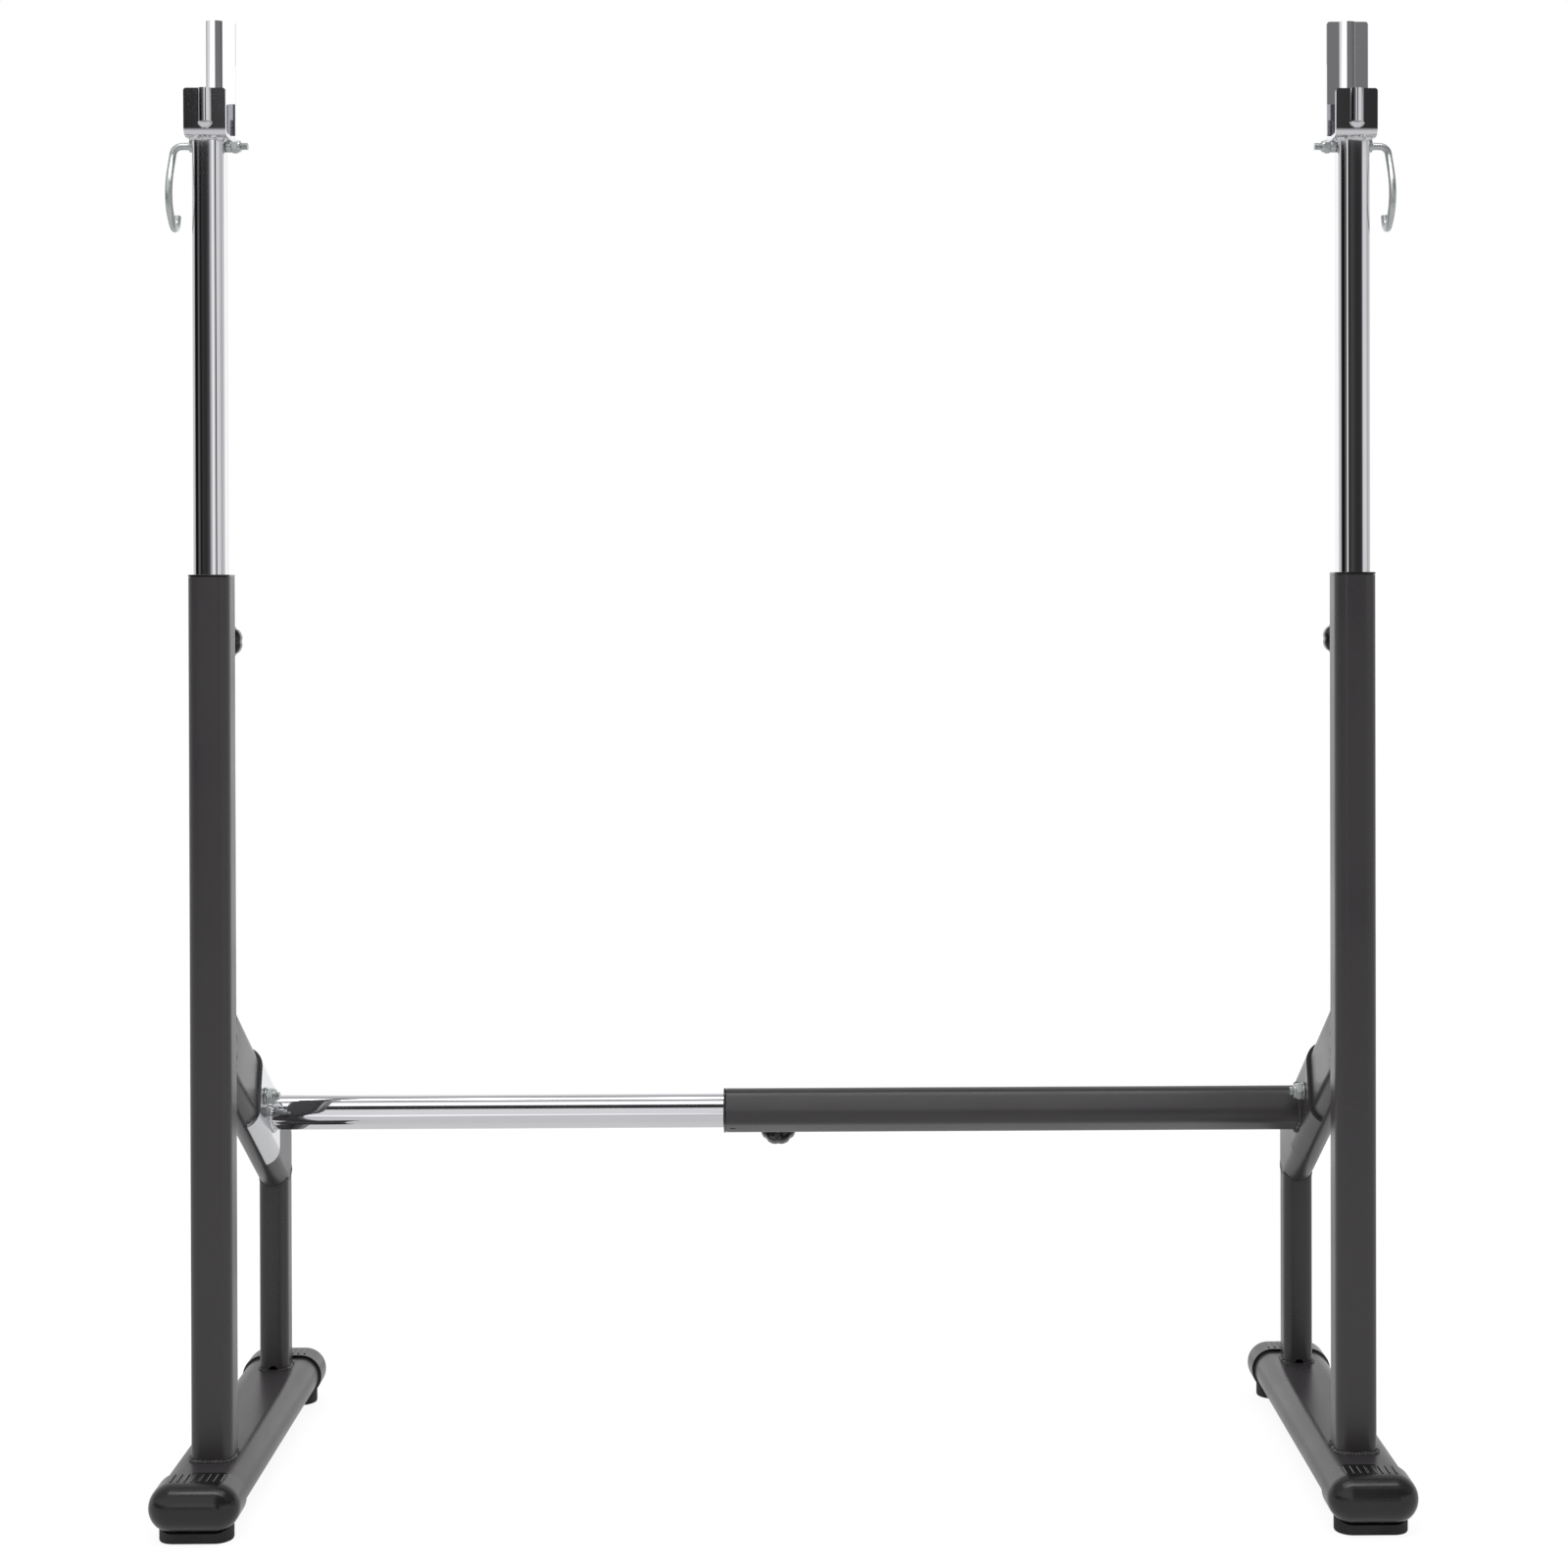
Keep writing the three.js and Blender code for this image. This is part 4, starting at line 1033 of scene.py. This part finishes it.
for lock, (name, stand, place) in locks.items():
    spring = shown(moved(spring_mesh(), place), name + "_spring", stand, "zinc_plate", zinc,
                   lock + "_lock_spring")
    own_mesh(spring)
for name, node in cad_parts.items():
    if name.endswith("_plug"):
        look = black_plastic
    elif name.endswith("_pin"):
        look = zinc
    else:
        continue
    node.data.materials.clear()
    node.data.materials.append(look)

# Studio: a pale floor and backdrop, with light from above and, faintly, from behind at both sides.
# The room behind the camera is dark, which the plating shows.
FLOOR_SIZE = 60
FLOOR_FRONT = -3.3
FLOOR_WHITE = 0.9
FLOOR_GLOW = 0.82
FLOOR_GLOW_SEEN = 1.05
FLOOR_GLOW_SHARE = 0.86
MIRRORED_FLOOR = 0.4
MIRRORED_BACKDROP = 0.9
FRONT_DIMMING = 0.6

floor_mesh = bmesh.new()
bmesh.ops.create_grid(floor_mesh, x_segments=1, y_segments=1, size=FLOOR_SIZE / 2)
bmesh.ops.translate(floor_mesh, vec=(0, FLOOR_SIZE / 2 + FLOOR_FRONT, 0), verts=floor_mesh.verts)
floor = placed("floor", settled(floor_mesh, "floor"))


def fed(socket, given):
    """Puts a plain number, or the value of another socket, into a socket of the tree at hand."""
    if isinstance(given, (int, float)):
        socket.default_value = given
    else:
        links.new(given, socket)


def worked(operation, first, second):
    """One sum in the tree's nodes, of sockets or plain numbers."""
    node = nodes.new("ShaderNodeMath")
    node.operation = operation
    fed(node.inputs[0], first)
    fed(node.inputs[1], second)
    return node.outputs["Value"]


def blend(share, first, second):
    """A mix of two sockets or plain numbers by a share."""
    node = nodes.new("ShaderNodeMix")
    for label, given in (("Factor", share), ("A", first), ("B", second)):
        fed(node.inputs[label], given)
    return node.outputs["Result"]


def shader_mix(share, first, second):
    """A mix of two shaders by a share."""
    node = nodes.new("ShaderNodeMixShader")
    for index, given in enumerate((share, first, second)):
        fed(node.inputs[index], given)
    return node.outputs["Shader"]


def ramp(socket, start, end, low=0, high=1):
    """A smooth change of a value as a direction turns."""
    node = nodes.new("ShaderNodeMapRange")
    node.interpolation_type = "SMOOTHSTEP"
    for label, amount in (("From Min", start), ("From Max", end), ("To Min", low), ("To Max", high)):
        node.inputs[label].default_value = amount
    links.new(socket, node.inputs["Value"])
    return node.outputs["Result"]


def turning(socket, start, end, low=0, high=1):
    """A ramp whose ends are angles in degrees."""
    return ramp(socket, math.radians(start), math.radians(end), low, high)


white = bpy.data.materials.new("white floor")
white.use_nodes = True
nodes, links = white.node_tree.nodes, white.node_tree.links
nodes.clear()
out = nodes.new("ShaderNodeOutputMaterial")
ray = nodes.new("ShaderNodeLightPath").outputs
matt = nodes.new("ShaderNodeBsdfDiffuse")
matt.inputs["Color"].default_value = (FLOOR_WHITE, FLOOR_WHITE, FLOOR_WHITE, 1)
glow = nodes.new("ShaderNodeEmission")
fed(glow.inputs["Strength"], blend(ray["Is Camera Ray"], FLOOR_GLOW, FLOOR_GLOW_SEEN))
glowing = shader_mix(FLOOR_GLOW_SHARE, matt.outputs["BSDF"], glow.outputs["Emission"])
seen = worked("MAXIMUM", ray["Is Camera Ray"], ray["Is Glossy Ray"])
links.new(shader_mix(seen, matt.outputs["BSDF"], glowing), out.inputs["Surface"])
floor.data.materials.append(white)

world = bpy.data.worlds.new("studio")
scene.world = world
world.use_nodes = True
nodes, links = world.node_tree.nodes, world.node_tree.links
nodes.clear()
out = nodes.new("ShaderNodeOutputWorld")
ray = nodes.new("ShaderNodeLightPath").outputs
sky = nodes.new("ShaderNodeBackground")
direction = nodes.new("ShaderNodeTexCoord")
parts = nodes.new("ShaderNodeSeparateXYZ")
links.new(direction.outputs["Generated"], parts.inputs["Vector"])
forward = worked("MULTIPLY", parts.outputs["Y"], -1)
azimuth = worked("ARCTAN2", parts.outputs["X"], forward)
pitch = worked("ARCTAN2", parts.outputs["Z"], forward)

# What plating shows of the room. Level with the stand, from left to right in degrees: pale walls at the
# sides, and dark parts ahead with thin lights and a pale doorway between them.
ROOM = ((-180, 0.8), (-92, 0.85), (-80, 0.04), (-62, 0.01), (-42, 0.01), (-34, 0.16), (-22, 0.16),
        (-18.5, 0.01), (-15.8, 0.015), (-14.8, 0.13), (-14, 0.03), (-12.8, 0.06), (-12, 0.26), (-11.2, 1.0),
        (-10.5, 1.5), (-6, 1.0), (3, 0.85), (6, 0.01), (8.2, 0.015), (9, 0.12), (10.2, 0.015), (11.2, 0.09),
        (13.2, 0.03), (15.2, 0.05), (17.3, 0.09), (18.5, 0.4), (19.6, 1.0), (58, 1.0), (79, 0.62),
        (131, 1.0), (180, 0.8))
walls = nodes.new("ShaderNodeValToRGB")
links.new(worked("ADD", worked("DIVIDE", azimuth, 2 * math.pi), 0.5), walls.inputs["Fac"])
stops = walls.color_ramp.elements
stops[0].color = stops[1].color = (*[ROOM[0][1]] * 3, 1)
for degrees, amount in ROOM[1:-1]:
    stops.new(degrees / 360 + 0.5).color = (amount, amount, amount, 1)

# Above that, from the walls up: pale screens on the left and dim ones on the right, a dark gap, a bright
# lamp and a grey ceiling. Each band has the degrees over which it comes in and its strength. Below the
# walls is a dim floor, and behind the stand a pale backdrop.
BANDS = (
    (16, 22, turning(azimuth, -3, 1, 1.05, 0.2)),
    (53.6, 53.8, 0.05),
    (55.4, 55.6, 1.7),
    (57.0, 57.3, turning(azimuth, -3, 1, 0.58, 0.35)),
)
above = turning(azimuth, -5, 5, 1.7, 0.26)
for start, end, amount in BANDS:
    above = blend(turning(pitch, start, end), above, amount)
level = blend(ramp(parts.outputs["Z"], 0.1812, 0.1822), walls.outputs["Color"], above)
level = blend(turning(pitch, -6, -3), MIRRORED_FLOOR, level)
mirrored = blend(ramp(parts.outputs["Y"], 0.2, 0.5), level, MIRRORED_BACKDROP)

# The light that falls on the stand is weaker from the front, up to the height of the lamp.
ahead = ramp(parts.outputs["Y"], -0.30, -0.02, 1, 0)
below_lamp = ramp(parts.outputs["Z"], 0.55, 0.72, 1, 0)
lit = worked("SUBTRACT", 1, worked("MULTIPLY", worked("MULTIPLY", ahead, below_lamp), FRONT_DIMMING))

strength = worked("MAXIMUM", blend(ray["Is Glossy Ray"], lit, mirrored), ray["Is Camera Ray"])
links.new(strength, sky.inputs["Strength"])
links.new(sky.outputs["Background"], out.inputs["Surface"])
sky.inputs["Color"].default_value = (1, 1, 1, 1)

# Each lamp's place, what it points at, its size and its power.
LAMPS = {
    "left": ((0.35, 1.4, 0.9), (-0.62, -0.14, 0.8), (1.0, 2.0), 2.2),
    "right": ((-0.35, 1.4, 0.9), (0.62, -0.14, 0.8), (1.0, 2.0), 2.2),
    "overhead": ((0, -1.25, 3.6), (0, 0, 0.5), (3.4, 0.8), 44),
}
for name, (place, goal, size, power) in LAMPS.items():
    lamp = bpy.data.lights.new(name, "AREA")
    lamp.shape = "RECTANGLE"
    lamp.size, lamp.size_y = size
    lamp.energy = power
    holder = placed(name + "_lamp", lamp)
    holder.visible_camera = False
    aim = Vector(goal) - Vector(place)
    holder.matrix_world = at(*place) @ aim.to_track_quat("-Z", "Y").to_matrix().to_4x4()

scene.view_settings.view_transform = "Standard"
